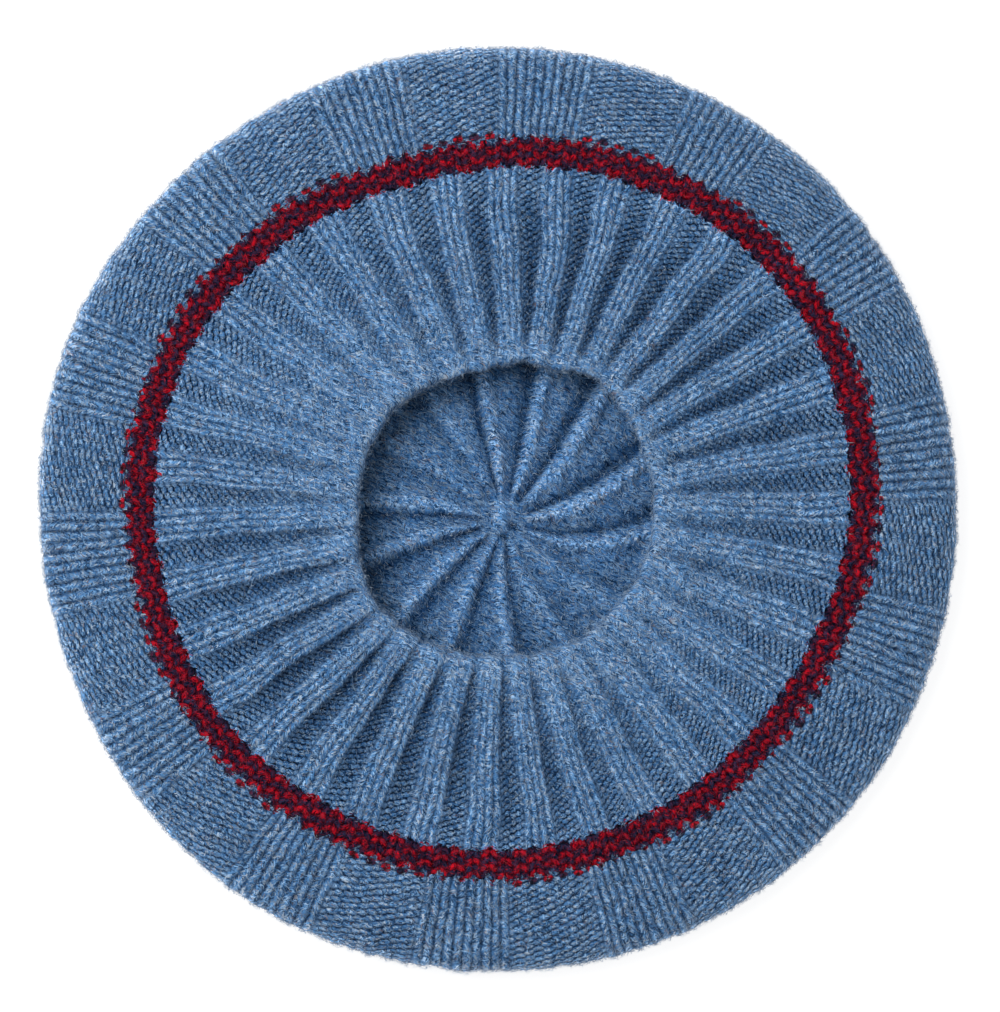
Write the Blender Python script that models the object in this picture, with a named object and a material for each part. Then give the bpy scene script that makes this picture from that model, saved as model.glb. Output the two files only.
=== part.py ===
"""A knitted ribbed beret that lies flat on its crown, with its opening up.

Rings of fabric lie inside one another, with a narrow clearance at each change: the crown with its
decrease lines, the panels under the outer fold and over it, the two-colour stripe, and the ribbed
band that gathers to the opening. Each ring is a wall of fabric: an outer skin worked out from a
short section table, and an inner skin one wall's thickness behind it.

Metres, +Z up. The origin is under the middle of the outline, on the surface that the beret lies on.
Bearings are in degrees, counted from +X towards +Y.
"""

import bmesh
import bpy
import numpy as np

MM = 0.001

# Sizes seen from above
OUTLINE_RADIUS = 141.0 * MM
UNDERSIDE_WIDTH = 23.0 * MM
PANEL_RING_WIDTH = 27.15 * MM
STRIPE_WIDTH = 8.3 * MM
OPENING_RADIUS = 45.3 * MM
OPENING_OFFSET_X = 2.15 * MM
OPENING_OFFSET_Y = -0.6 * MM
GATHER_OFFSET_X = 2.0 * MM
GATHER_OFFSET_Y = -3.6 * MM

# Heights: of the stripe above the surface that the beret lies on, of the rim above the stripe, and of
# the hem that turns down inside the rim
STRIPE_HEIGHT = 17.5 * MM
RIM_RISE = 4.0 * MM
HEM_DEPTH = 6.0 * MM

# Fabric
WALL = 2.8 * MM
RIB_RELIEF = 2.2 * MM
PANEL_STEP = 0.8 * MM
STRIPE_PUFF = 0.35 * MM
SPOKE_WIDTH = 5.0 * MM
SPOKE_RELIEF = 1.5 * MM
KNOT_RADIUS = 4.0 * MM
KNOT_HEIGHT = 2.2 * MM
HEM_ROUNDING = 1.0 * MM
SEAM_CLEARANCE = 0.3 * MM

# What follows from the sizes: the radius of the crown's edge and of the stripe's middle line
CROWN_RADIUS = OUTLINE_RADIUS - UNDERSIDE_WIDTH
STRIPE_RADIUS = OUTLINE_RADIUS - PANEL_RING_WIDTH - STRIPE_WIDTH / 2

# Counts
RIB_COUNT = 35
PANEL_PAIR_COUNT = 14
SPOKE_COUNT = 14
STRIPE_COLUMNS = 70
OUTLINE_SAMPLES = 720

# Bearings of the first rib's middle, of the first knit panel's edge and of the first spoke
FIRST_RIB = 0.0
FIRST_PANEL = 0.8
FIRST_SPOKE = 21.0
SPOKE_TWIST = 8.0

FULL_TURN = 360.0
UPWARD = (0.0, 0.0, 1.0)
DOWNWARD = (0.0, 0.0, -1.0)
SMOOTH_ANGLE = np.radians(40.0)

# How each edge departs from a circle. Columns: waves in a turn, then the share of the radius that
# the wave adds with the cosine and with the sine of the bearing.
OUTLINE_WAVES = (
    (2, -0.0035, 0.0005),
    (3, -0.0004, 0.0015),
    (4, -0.0022, -0.0022),
    (5, -0.0009, 0.0015),
    (6, 0.0, -0.0013),
)
STRIPE_WAVES = (
    (1, 0.0085, 0.0108),
    (2, 0.0088, 0.0155),
    (3, -0.0020, 0.0105),
    (4, -0.0019, -0.0009),
    (5, 0.0033, 0.0005),
    (8, 0.0009, -0.0021),
)
OPENING_WAVES = (
    (2, 0.0025, 0.0275),
    (3, -0.0085, 0.0020),
    (4, -0.0245, 0.0),
    (5, 0.0145, 0.0),
)
CROWN_WAVES = ()

# How the soft upper side sags and swells round the beret. Columns: waves in a turn, then the share of
# the height that the wave adds with the cosine and with the sine of the bearing.
SAG_WAVES = (
    (2, 0.020, 0.014),
    (3, -0.012, 0.018),
    (5, 0.010, -0.008),
)

# How the knitting shifts round the beret, in rows at equal steps of bearing from +X on. Columns: the
# degrees by which the ribs are shifted at the stripe, the further degrees by which they lean at the
# opening, the share of the full relief that the ribs have at the opening, and the degrees by which the
# panels are shifted.
DRIFT = (
    (0.1, 1.7, 0.70, 0.4),
    (0.0, 0.9, 1.10, 1.8),
    (-1.2, -0.7, 1.10, 0.6),
    (-2.9, -2.0, 1.10, -0.7),
    (-2.9, 1.0, 0.55, -1.8),
    (-0.9, -0.5, 0.30, -0.8),
    (-1.9, -2.1, 0.65, -0.5),
    (-2.2, -0.2, 1.15, 0.7),
    (-0.8, -3.4, 1.15, 1.0),
    (-0.2, -2.4, 0.95, 0.8),
    (-1.4, -2.3, 0.55, -1.0),
    (-1.4, 0.8, 0.40, -1.4),
)
RIB_SHIFT, RIB_LEAN, RIB_DEPTH, PANEL_SHIFT = zip(*DRIFT)

# One rib and its valley, which is deepest close behind the rib. Columns: half widths of the rib, share
# of the valley, share of the rib relief by which the face lies below the rib's top.
RIB_PROFILE = (
    (-0.95, 0.0, 0.6),
    (-0.55, 0.0, 0.0),
    (0.55, 0.0, 0.0),
    (0.95, 0.0, 0.75),
    (1.0, 0.35, 1.0),
)
# One knit panel and its purl panel. Columns: share of the pitch, share of the panel step by which the
# face lies below the knit ribs.
PANEL_PROFILE = (
    (0.03, 0.0),
    (0.17, 0.0),
    (0.33, 0.0),
    (0.47, 0.0),
    (0.53, 1.0),
    (0.67, 0.7),
    (0.83, 0.7),
    (0.97, 1.0),
)

# The side under the fold, from the crown's edge to the outline, and over it, from the outline to the
# stripe. Columns: share of the way out to the outline, share of the stripe's height, share of the
# panel step, and whether the inner skin has this row too.
UNDER_FOLD = (
    (0.00, 0.00, 0.0, True),
    (0.35, 0.01, 0.3, False),
    (0.68, 0.10, 1.0, True),
    (0.90, 0.27, 1.0, False),
    (1.00, 0.48, 1.0, True),
)
OVER_FOLD = (
    (1.00, 0.48, 1.0, True),
    (0.93, 0.72, 1.0, False),
    (0.74, 0.87, 1.0, True),
    (0.42, 0.95, 1.0, False),
    (0.00, 1.00, 0.5, True),
)

# The stripe from its outer edge to its inner edge. Columns: share of its width, share of its puff, and
# whether the inner skin has this row too.
STRIPE_SECTION = (
    (0.0, 0.0, True),
    (0.5, 1.0, False),
    (1.0, 0.0, True),
)

# The band from the stripe to the end of the turned hem. Columns: share of the way in to the opening,
# share of the rise from stripe to rim, share of the hem's depth, share of the rib relief, share by
# which the relief follows the gathers, share of the pitch that the rib fills, and whether the inner
# skin has this row too.
BAND_SECTION = (
    (0.00, 0.00, 0.0, 0.20, 0.0, 0.54, True),
    (0.12, 0.16, 0.0, 0.50, 0.1, 0.55, False),
    (0.36, 0.42, 0.0, 0.95, 0.4, 0.60, True),
    (0.64, 0.70, 0.0, 1.00, 0.7, 0.68, False),
    (0.87, 0.93, 0.0, 0.80, 1.0, 0.77, True),
    (0.955, 1.00, 0.0, 0.35, 1.0, 0.80, False),
    (0.992, 1.00, 0.22, 0.15, 1.0, 0.80, True),
    (1.00, 1.00, 0.58, 0.10, 1.0, 0.80, False),
    (0.99, 1.00, 1.00, 0.10, 1.0, 0.80, True),
)

# One crown segment, from one decrease line to the next. Columns: half widths of a decrease line,
# share of the segment, share of the relief.
SPOKE_PROFILE = (
    (0.0, 0.0, 1.0),
    (1.0, 0.0, 0.25),
    (1.0, 0.33, 0.45),
    (-1.0, 0.67, 0.40),
    (-1.0, 1.0, 0.0),
)
# The crown's inner skin from its edge to the knot. Columns: share of the crown's radius, share of the
# spokes' relief.
CROWN_ROWS = (
    (1.00, 0.2),
    (0.86, 0.8),
    (0.66, 1.0),
    (0.46, 1.0),
    (0.28, 1.0),
    (0.13, 0.9),
)
# The knot over the crown's middle. Columns: share of its radius, share of its height.
KNOT_ROWS = (
    (1.0, 0.45),
    (0.55, 0.85),
)
LARGEST_SPOKE_SHARE = 0.3

# Colours, in linear values, and the wool's roughness
BLUE_WOOL = (0.085, 0.155, 0.275, 1.0)
BAND_WOOL = (0.080, 0.150, 0.280, 1.0)
CROWN_WOOL = (0.075, 0.135, 0.240, 1.0)
STRIPE_WOOL = (0.160, 0.012, 0.026, 1.0)
WOOL_ROUGHNESS = 0.95


def clear_scene():
    """Removes the objects that a new file starts with."""
    for item in list(bpy.data.objects):
        bpy.data.objects.remove(item, do_unlink=True)


def around(column, bearings):
    """Reads a column of the drift table at any bearing, with a smooth curve through its rows."""
    values = np.array(column)
    place = np.mod(bearings, FULL_TURN) / FULL_TURN * len(values)
    first = np.floor(place).astype(int)
    share = place - first
    before, here, after, beyond = (values[(first + step) % len(values)] for step in (-1, 0, 1, 2))
    slope_here = (after - before) / 2
    slope_after = (beyond - here) / 2
    rise = after - here
    bend = 3 * rise - 2 * slope_here - slope_after
    twist = slope_here + slope_after - 2 * rise
    return here + share * (slope_here + share * (bend + share * twist))


def wave_sum(waves, bearings):
    """The share that a table of waves adds at each bearing."""
    angle = np.radians(bearings)
    share = np.zeros_like(angle)
    for count, cosine, sine in waves:
        share += cosine * np.cos(count * angle) + sine * np.sin(count * angle)
    return share


def ring(radius, waves, bearings, offset_x=0.0, offset_y=0.0):
    """Points of one edge seen from above: a circle whose radius the waves change."""
    angle = np.radians(bearings)
    length = radius * (1 + wave_sum(waves, bearings))
    return np.stack([offset_x + length * np.cos(angle), offset_y + length * np.sin(angle)], axis=-1)


def outline_middle():
    """The middle of the outline's box, which is put over the origin."""
    points = ring(OUTLINE_RADIUS, OUTLINE_WAVES, np.linspace(0, FULL_TURN, OUTLINE_SAMPLES))
    return (points.min(axis=0) + points.max(axis=0)) / 2


def outline(bearings):
    """The outermost edge of the fold."""
    return ring(OUTLINE_RADIUS, OUTLINE_WAVES, bearings) - outline_middle()


def stripe_edge(offset, bearings):
    """A line along the stripe, at an offset from its middle line."""
    middle = ring(STRIPE_RADIUS, STRIPE_WAVES, bearings)
    outward = middle / np.linalg.norm(middle, axis=-1, keepdims=True)
    return middle + offset * outward - outline_middle()


def opening_edge(bearings):
    """The innermost edge of the rim."""
    edge = ring(OPENING_RADIUS, OPENING_WAVES, bearings, OPENING_OFFSET_X, OPENING_OFFSET_Y)
    return edge - outline_middle()


def crown_edge(offset, bearings):
    """The edge of the crown, at an offset from it."""
    return ring(CROWN_RADIUS + offset, CROWN_WAVES, bearings) - outline_middle()


def raise_to(points, height):
    """Gives flat points their height, which is one value or one for each point."""
    level = np.broadcast_to(height, points.shape[:-1])
    return np.concatenate([points, level[..., None]], axis=-1)


def sagged(height, bearings):
    """A height of the soft upper side, with its sag at each bearing."""
    return height * (1 + wave_sum(SAG_WAVES, bearings))


def outward_normals(skin):
    """Normals of a skin given as rows of points, each row a closed ring of columns."""
    along = np.gradient(skin, axis=0)
    across = np.roll(skin, -1, axis=1) - np.roll(skin, 1, axis=1)
    normal = np.cross(across, along)
    return normal / np.linalg.norm(normal, axis=-1, keepdims=True)


def fabric_wall(skin, lift, inside, seams, hem=0.0):
    """Rows of points once round a wall of fabric: its outer skin, then its inner skin back.

    The outer skin is lifted along its normals. The inner skin lies one wall behind it, with the rows
    marked in inside. Seams gives the rows that meet a neighbour, whose edges stand upright, each with
    the way that its outer skin faces. A hem adds one row between the two skins at the end, pushed out
    along the fabric.
    """
    normal = outward_normals(skin)
    for row, facing in seams:
        normal[row] = facing
    outer = skin + lift[..., None] * normal
    inner = outer - WALL * normal
    kept = inner[list(inside)][::-1]
    if not hem:
        return np.concatenate([outer, kept])
    along = outer[-1] - outer[-2]
    along /= np.linalg.norm(along, axis=-1, keepdims=True)
    nose = (outer[-1] + inner[-1]) / 2 + hem * along
    return np.concatenate([outer, nose[None], kept])


def wool(name, colour):
    """A matt wool of one colour."""
    material = bpy.data.materials.new(name)
    material.use_nodes = True
    shader = material.node_tree.nodes["Principled BSDF"]
    shader.inputs["Base Color"].default_value = colour
    shader.inputs["Roughness"].default_value = WOOL_ROUGHNESS
    shader.inputs["Metallic"].default_value = 0.0
    material.diffuse_color = colour
    return material


def add_piece(name, mesh_build, colour):
    """Turns a filled bmesh into a named object with its own wool."""
    bmesh.ops.recalc_face_normals(mesh_build, faces=mesh_build.faces)
    mesh = bpy.data.meshes.new(name)
    mesh_build.to_mesh(mesh)
    mesh_build.free()
    mesh.shade_smooth()
    mesh.set_sharp_from_angle(angle=SMOOTH_ANGLE)
    mesh.materials.append(wool(name + "_wool", colour))
    piece = bpy.data.objects.new(name, mesh)
    bpy.context.scene.collection.objects.link(piece)
    return piece


def add_rows(mesh_build, rows):
    """Adds rows of points as closed rings and joins each ring to the next."""
    rings = [[mesh_build.verts.new(point) for point in row] for row in rows]
    for ring_here, ring_next in zip(rings, rings[1:]):
        bridge(mesh_build, ring_here, ring_next)
    return rings


def bridge(mesh_build, ring_here, ring_next):
    """Joins two rings of as many points with one face at each column."""
    count = len(ring_here)
    for column in range(count):
        following = (column + 1) % count
        mesh_build.faces.new(
            (ring_here[column], ring_here[following], ring_next[following], ring_next[column])
        )


def add_ring_piece(name, rows, colour):
    """A piece whose section is closed, such as a band of fabric."""
    mesh_build = bmesh.new()
    rings = add_rows(mesh_build, rows)
    bridge(mesh_build, rings[-1], rings[0])
    return add_piece(name, mesh_build, colour)


def add_capped_piece(name, rows, colour):
    """A piece that reaches its middle at both ends of its section, closed by a fan at each."""
    mesh_build = bmesh.new()
    rings = add_rows(mesh_build, rows)
    for edge in (rings[0], rings[-1]):
        middle = sum((vert.co for vert in edge), edge[0].co * 0) / len(edge)
        pole = mesh_build.verts.new(middle)
        for column, vert in enumerate(edge):
            mesh_build.faces.new((vert, edge[(column + 1) % len(edge)], pole))
    return add_piece(name, mesh_build, colour)


def repeat(profile, count):
    """The columns of a profile that is repeated round the beret, each after its copy's start."""
    starts = np.repeat(FULL_TURN / count * np.arange(count), len(profile))
    return [starts] + [np.tile(column, count) for column in zip(*profile)]


def build_crown():
    """The flat round top: a disc of fabric with raised decrease lines inside and a knot."""
    segment = FULL_TURN / SPOKE_COUNT
    starts, widths, shares, lifts = repeat(SPOKE_PROFILE, SPOKE_COUNT)
    gather = np.array([GATHER_OFFSET_X, GATHER_OFFSET_Y])

    def row(radius_share, radius, height, lift_share):
        half_width = np.degrees(SPOKE_WIDTH / 2 / radius)
        half_width = min(half_width, LARGEST_SPOKE_SHARE * segment)
        bearings = FIRST_SPOKE - SPOKE_TWIST * (1 - radius_share)
        bearings = bearings + starts + half_width * widths + segment * shares
        edge = ring(radius, CROWN_WAVES, bearings) + (1 - radius_share) * gather - outline_middle()
        return raise_to(edge, height + lift_share * SPOKE_RELIEF * lifts)

    knot = [
        row(0.0, share * KNOT_RADIUS, WALL + height * KNOT_HEIGHT, 0.0)
        for share, height in reversed(KNOT_ROWS)
    ]
    inner = [
        row(share, share * CROWN_RADIUS, WALL, lift_share)
        for share, lift_share in reversed(CROWN_ROWS)
    ]
    under = row(1.0, CROWN_RADIUS, 0.0, 0.0)
    return add_capped_piece("crown", knot + inner + [under], CROWN_WOOL)


def build_panels(name, near_edge, section, seams, lower):
    """A ring of knit and purl panels, on one side of the fold's outermost line.

    Near edge is the contour where the ring leaves the outline's side. Lower shifts the ring's row at
    the outermost line up or down by its share of the clearance.
    """
    starts, places, drop = repeat(PANEL_PROFILE, PANEL_PAIR_COUNT)
    bearings = FIRST_PANEL + starts + places * FULL_TURN / PANEL_PAIR_COUNT
    bearings = bearings + around(PANEL_SHIFT, bearings)
    far = outline(bearings)
    near = near_edge(bearings)
    skin = []
    lift = []
    inside = []
    for across, rise, step, kept in section:
        height = sagged(rise * STRIPE_HEIGHT, bearings)
        if across == 1:
            height = height + lower * SEAM_CLEARANCE / 2
        skin.append(raise_to(near + across * (far - near), height))
        lift.append(-step * PANEL_STEP * drop)
        inside.append(kept)
    outward = raise_to(far / np.linalg.norm(far, axis=-1, keepdims=True), 0.0)
    facing = [(row, outward if way is None else way) for row, way in seams]
    rows = fabric_wall(np.array(skin), np.array(lift), inside, facing)
    return add_ring_piece(name, rows, BLUE_WOOL)


def build_lower_fold():
    """The panels under the fold, from the crown's edge out to the outermost line."""
    seams = ((0, DOWNWARD), (-1, None))
    return build_panels(
        "lower_fold", lambda bearings: crown_edge(SEAM_CLEARANCE, bearings), UNDER_FOLD, seams, -1
    )


def build_side_panels():
    """The panels over the fold, from the outermost line in to the stripe."""
    seams = ((0, None), (-1, UPWARD))
    offset = STRIPE_WIDTH / 2 + SEAM_CLEARANCE
    return build_panels(
        "side_panels", lambda bearings: stripe_edge(offset, bearings), OVER_FOLD, seams, 1
    )


def build_stripe():
    """The two-colour ring between the panels and the band."""
    bearings = FULL_TURN * np.arange(STRIPE_COLUMNS) / STRIPE_COLUMNS
    skin = []
    lift = []
    inside = []
    for across, puff, kept in STRIPE_SECTION:
        edge = stripe_edge(STRIPE_WIDTH * (0.5 - across), bearings)
        skin.append(raise_to(edge, sagged(STRIPE_HEIGHT, bearings)))
        lift.append(np.full(len(bearings), puff * STRIPE_PUFF))
        inside.append(kept)
    seams = ((0, UPWARD), (-1, UPWARD))
    rows = fabric_wall(np.array(skin), np.array(lift), inside, seams)
    return add_ring_piece("stripe", rows, STRIPE_WOOL)


def build_ribbed_band():
    """The gathered ribs, from the stripe to the rim, and the hem that turns in at the opening."""
    starts, widths, places, drop = repeat(RIB_PROFILE, RIB_COUNT)
    pitch = FULL_TURN / RIB_COUNT
    middles = FIRST_RIB + starts
    shift = around(RIB_SHIFT, middles)
    lean = around(RIB_LEAN, middles)
    depth = around(RIB_DEPTH, middles)
    skin = []
    lift = []
    inside = []
    for across, rise, hem, rib, follow, filled, kept in BAND_SECTION:
        turned = middles + shift + across * lean
        turned = turned + pitch * (filled / 2 * widths + (1 - filled) * places)
        near = stripe_edge(-STRIPE_WIDTH / 2 - SEAM_CLEARANCE, turned)
        edge = near + across * (opening_edge(turned) - near)
        height = sagged(STRIPE_HEIGHT + rise * RIM_RISE, turned) - hem * HEM_DEPTH
        skin.append(raise_to(edge, height))
        lift.append(-rib * RIB_RELIEF * (1 - follow + follow * depth) * drop)
        inside.append(kept)
    seams = ((0, UPWARD),)
    rows = fabric_wall(np.array(skin), np.array(lift), inside, seams, HEM_ROUNDING)
    return add_ring_piece("ribbed_band", rows, BAND_WOOL)


clear_scene()
build_crown()
build_lower_fold()
build_side_panels()
build_stripe()
build_ribbed_band()
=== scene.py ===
# %% [markdown]
# # A ribbed knitted beret
#
# The beret lies on its crown with the opening up. It is knitted in one length: a ribbed band that
# gathers to the opening, a two-colour stripe, a ring of knit and purl panels that turns under at the
# fold, and a round crown. The wool was washed and brushed after knitting, so the stitches have closed
# up and every yarn carries a haze of loose fibre.
#
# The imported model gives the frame. Each of its soft solids is replaced here by a finer piece, worked
# out from the same few sizes, whose surface carries the stitches themselves.

import bpy
import numpy as np
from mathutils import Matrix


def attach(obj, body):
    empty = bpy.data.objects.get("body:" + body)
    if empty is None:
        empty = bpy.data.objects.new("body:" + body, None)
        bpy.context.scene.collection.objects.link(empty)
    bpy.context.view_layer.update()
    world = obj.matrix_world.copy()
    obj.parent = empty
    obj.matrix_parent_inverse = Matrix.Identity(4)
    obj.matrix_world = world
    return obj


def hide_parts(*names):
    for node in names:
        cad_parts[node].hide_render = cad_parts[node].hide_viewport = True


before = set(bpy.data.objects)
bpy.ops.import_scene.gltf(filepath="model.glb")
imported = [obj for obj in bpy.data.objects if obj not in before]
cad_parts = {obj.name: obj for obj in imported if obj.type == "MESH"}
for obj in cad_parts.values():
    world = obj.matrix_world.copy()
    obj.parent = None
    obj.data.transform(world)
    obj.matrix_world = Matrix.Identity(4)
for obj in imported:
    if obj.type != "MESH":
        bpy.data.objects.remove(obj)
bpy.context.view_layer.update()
MM = 0.001

# %% [markdown]
# ## The camera
#
# The photograph looks straight down, with the beret filling the frame. A long lens from two metres up
# keeps the near rim and the far fold at nearly the same scale, as the photograph does.

# %% Camera straight above
CAMERA_PLACE = (0.67 * MM, 0.99 * MM, 2159.0 * MM)
LENS = 250.0


def placed(name, data):
    """A new object of that data, linked to the scene."""
    thing = bpy.data.objects.new(name, data)
    bpy.context.scene.collection.objects.link(thing)
    return thing


camera_data = bpy.data.cameras.new("camera_above")
camera_data.lens = LENS
camera_data.dof.use_dof = False
camera = placed("camera_above", camera_data)
camera.location = CAMERA_PLACE
bpy.context.scene.camera = camera
print("camera at", [round(value, 4) for value in camera.location])

# %% [markdown]
# ## The beret's sizes
#
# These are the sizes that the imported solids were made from. Every edge is a circle that a few waves
# bend, because a hand that lays a soft hat down never leaves it round.

# %% Sizes
OUTLINE_RADIUS = 141.0 * MM
UNDERSIDE_WIDTH = 23.0 * MM
PANEL_RING_WIDTH = 27.15 * MM
STRIPE_WIDTH = 8.3 * MM
OPENING_RADIUS = 45.3 * MM
OPENING_OFFSET = (2.15 * MM, -0.6 * MM)
GATHER_OFFSET = (2.0 * MM, -3.6 * MM)
STRIPE_HEIGHT = 17.5 * MM
RIM_RISE = 4.0 * MM
HEM_DEPTH = 6.0 * MM
WALL = 2.8 * MM
RIB_RELIEF = 2.2 * MM
PANEL_STEP = 0.15 * MM
SEAM_CLEARANCE = 0.3 * MM
CROWN_RADIUS = OUTLINE_RADIUS - UNDERSIDE_WIDTH
STRIPE_RADIUS = OUTLINE_RADIUS - PANEL_RING_WIDTH - STRIPE_WIDTH / 2

# The knitting: 140 stitches round, in rows 2 mm high
STITCHES = 140
ROW = 2.0 * MM
RIB_COUNT = 35
PANEL_PAIR_COUNT = 14
SPOKE_COUNT = 14
RIB_STITCHES = STITCHES // RIB_COUNT
PAIR_STITCHES = STITCHES // PANEL_PAIR_COUNT
RIB_KNIT = 2
PAIR_KNIT = 5
FIRST_RIB = 0.0
FIRST_PANEL = np.radians(0.8)
TURN = 2 * np.pi
print("one stitch at the fold, mm:", round(TURN * OUTLINE_RADIUS / STITCHES / MM, 2))

# %% Waves round the edges
# Columns: waves in a turn, share of the radius with the cosine, share with the sine.
OUTLINE_WAVES = (
    (2, -0.0035, 0.0005), (3, -0.0004, 0.0015), (4, -0.0022, -0.0022),
    (5, -0.0009, 0.0015), (6, 0.0, -0.0013),
)
STRIPE_WAVES = (
    (1, 0.0085, 0.0108), (2, 0.0088, 0.0155), (3, -0.0020, 0.0105),
    (4, -0.0019, -0.0009), (5, 0.0033, 0.0005), (8, 0.0009, -0.0021),
)
OPENING_WAVES = ((2, 0.0025, 0.0275), (3, -0.0085, 0.0020), (4, -0.0245, 0.0), (5, 0.0145, 0.0))
SAG_WAVES = ((2, 0.020, 0.014), (3, -0.012, 0.018), (5, 0.010, -0.008))
# One value every 30 degrees from +X: degrees by which the ribs are shifted at the stripe, degrees by
# which they lean on at the opening, share of their relief there, degrees by which the panels are
# shifted, and how far the band is felted.
RIB_SHIFT = np.array((0.1, 0.0, -1.2, -2.9, -2.9, -0.9, -1.9, -2.2, -0.8, -0.2, -1.4, -1.4))
RIB_LEAN = np.array((1.7, 0.9, -0.7, -2.0, 1.0, -0.5, -2.1, -0.2, -3.4, -2.4, -2.3, 0.8))
RIB_DEPTH = np.array((0.70, 1.10, 1.10, 1.10, 0.55, 0.30, 0.65, 1.15, 1.15, 0.95, 0.55, 0.40))
PANEL_SHIFT = np.array((0.4, 1.8, 0.6, -0.7, -1.8, -0.8, -0.5, 0.7, 1.0, 0.8, -1.0, -1.4))
BAND_FELT = np.array((0.45, 0.25, 0.15, 0.20, 0.60, 0.75, 0.50, 0.30, 0.20, 0.35, 0.70, 0.75))


def wave_sum(waves, bearing):
    """Sum over the table of cosine share times cos(waves bearing) and sine share times sin."""
    total = np.zeros_like(bearing)
    for count, cosine, sine in waves:
        total += cosine * np.cos(count * bearing) + sine * np.sin(count * bearing)
    return total


def circle(radius, waves, bearing, offset=(0.0, 0.0)):
    """Flat point: offset plus radius times (1 + wave sum) times (cos bearing, sin bearing)."""
    length = radius * (1 + wave_sum(waves, bearing))
    return np.stack([offset[0] + length * np.cos(bearing), offset[1] + length * np.sin(bearing)], -1)


def around(column, bearing):
    """Cubic through values round the beret: each slope is half its neighbours' difference."""
    place = np.mod(bearing, TURN) / TURN * len(column)
    first = np.floor(place).astype(int)
    share = place - first
    before, here, after, beyond = (column[(first + step) % len(column)] for step in (-1, 0, 1, 2))
    slope_here = (after - before) / 2
    slope_after = (beyond - here) / 2
    bend = 3 * (after - here) - 2 * slope_here - slope_after
    twist = slope_here + slope_after - 2 * (after - here)
    return here + share * (slope_here + share * (bend + share * twist))


RING_STEPS = 720
full_ring = circle(OUTLINE_RADIUS, OUTLINE_WAVES, np.linspace(0, TURN, RING_STEPS))
MIDDLE = (full_ring.min(axis=0) + full_ring.max(axis=0)) / 2
print("middle of the outline, mm:", (MIDDLE / MM).round(3))

# %% Edges seen from above
TINY = 1e-12


def outline_edge(bearing):
    """The fold's outermost line."""
    return circle(OUTLINE_RADIUS, OUTLINE_WAVES, bearing) - MIDDLE


def unit(vectors):
    """Vectors divided by their lengths."""
    return vectors / (np.linalg.norm(vectors, axis=-1, keepdims=True) + TINY)


def stripe_edge(offset, bearing):
    """The stripe's middle line, moved outwards along the radius by the offset."""
    middle = circle(STRIPE_RADIUS, STRIPE_WAVES, bearing)
    return middle + offset * unit(middle) - MIDDLE


def opening_edge(bearing):
    """The rim's innermost line."""
    return circle(OPENING_RADIUS, OPENING_WAVES, bearing, OPENING_OFFSET) - MIDDLE


def crown_edge(offset, bearing):
    """The crown's edge, a plain circle."""
    return circle(CROWN_RADIUS + offset, (), bearing) - MIDDLE


def sagged(height, bearing):
    """Height times (1 + wave sum of the sag)."""
    return height * (1 + wave_sum(SAG_WAVES, bearing))


def raised(points, height):
    """Flat points with their height added as the third number."""
    return np.concatenate([points, np.broadcast_to(height, points.shape[:-1])[..., None]], -1)


print("opening at bearing 0, mm:", (opening_edge(np.zeros(1)) / MM).round(2))

# %% [markdown]
# ## Rows of knitting along a section
#
# A knitted row has the same height wherever it lies, so the rows must be evenly spaced along the
# fabric and not along its height or width. Each section is a short table. A smooth curve goes through
# its rows without overshooting, and its length is measured on a nominal radius and height.

# %% Smooth sections
DENSE = 600


def smooth_curve(at, places, values):
    """Cubic through (places, values). A slope is the harmonic mean of the two chords beside it,
    2ab / (a + b), and zero where their signs differ, so the curve never overshoots."""
    places = np.asarray(places, float)
    values = np.asarray(values, float)
    step = np.diff(places)
    chord = np.diff(values) / step
    product = chord[:-1] * chord[1:]
    inner = np.where(product > 0, 2 * product / (chord[:-1] + chord[1:] + TINY), 0.0)
    slope = np.concatenate([chord[:1], inner, chord[-1:]])
    piece = np.clip(np.searchsorted(places, at, side="right") - 1, 0, len(step) - 1)
    t = (at - places[piece]) / step[piece]
    rise = values[piece + 1] - values[piece]
    start, end = slope[piece] * step[piece], slope[piece + 1] * step[piece]
    return values[piece] + t * (start + t * (3 * rise - 2 * start - end + t * (start + end - 2 * rise)))


def even_rows(table, nominal, counts):
    """The columns of a section and the length up to each row, at even steps along it. Nominal turns
    columns into a radius and a height. Counts gives each stretch's last table row and its steps."""
    columns = np.array(table, float).T
    radius, height = nominal(columns)
    knots = np.concatenate([[0.0], np.cumsum(np.hypot(np.diff(radius), np.diff(height)))])
    dense = np.linspace(0, knots[-1], DENSE)
    radius, height = nominal(np.array([smooth_curve(dense, knots, column) for column in columns]))
    length = np.concatenate([[0.0], np.cumsum(np.hypot(np.diff(radius), np.diff(height)))])
    marks = [0.0]
    places = [np.zeros(1)]
    for row, steps in counts:
        end = np.interp(knots[row], dense, length)
        places.append(np.linspace(marks[-1], end, steps + 1)[1:])
        marks.append(end)
    places = np.concatenate(places)
    at = np.interp(places, length, dense)
    return np.array([smooth_curve(at, knots, column) for column in columns]), places


print("harmonic slopes keep a flat top flat:", smooth_curve(np.array([1.5]), (0, 1, 2, 3), (0, 1, 1, 0)))

# %% [markdown]
# ## Stitches
#
# Seen from its right side, a knitted stitch is a V whose two legs lean against the neighbours, and a
# column of them looks like two ropes with opposite slants. Seen from the other side it is a purl
# stitch: two short bars, staggered by half a stitch and half a row. Both are simple periodic formulas
# of the stitch number u and the row number v, so the same formulas shape the mesh here and colour the
# yarn later.

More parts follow.
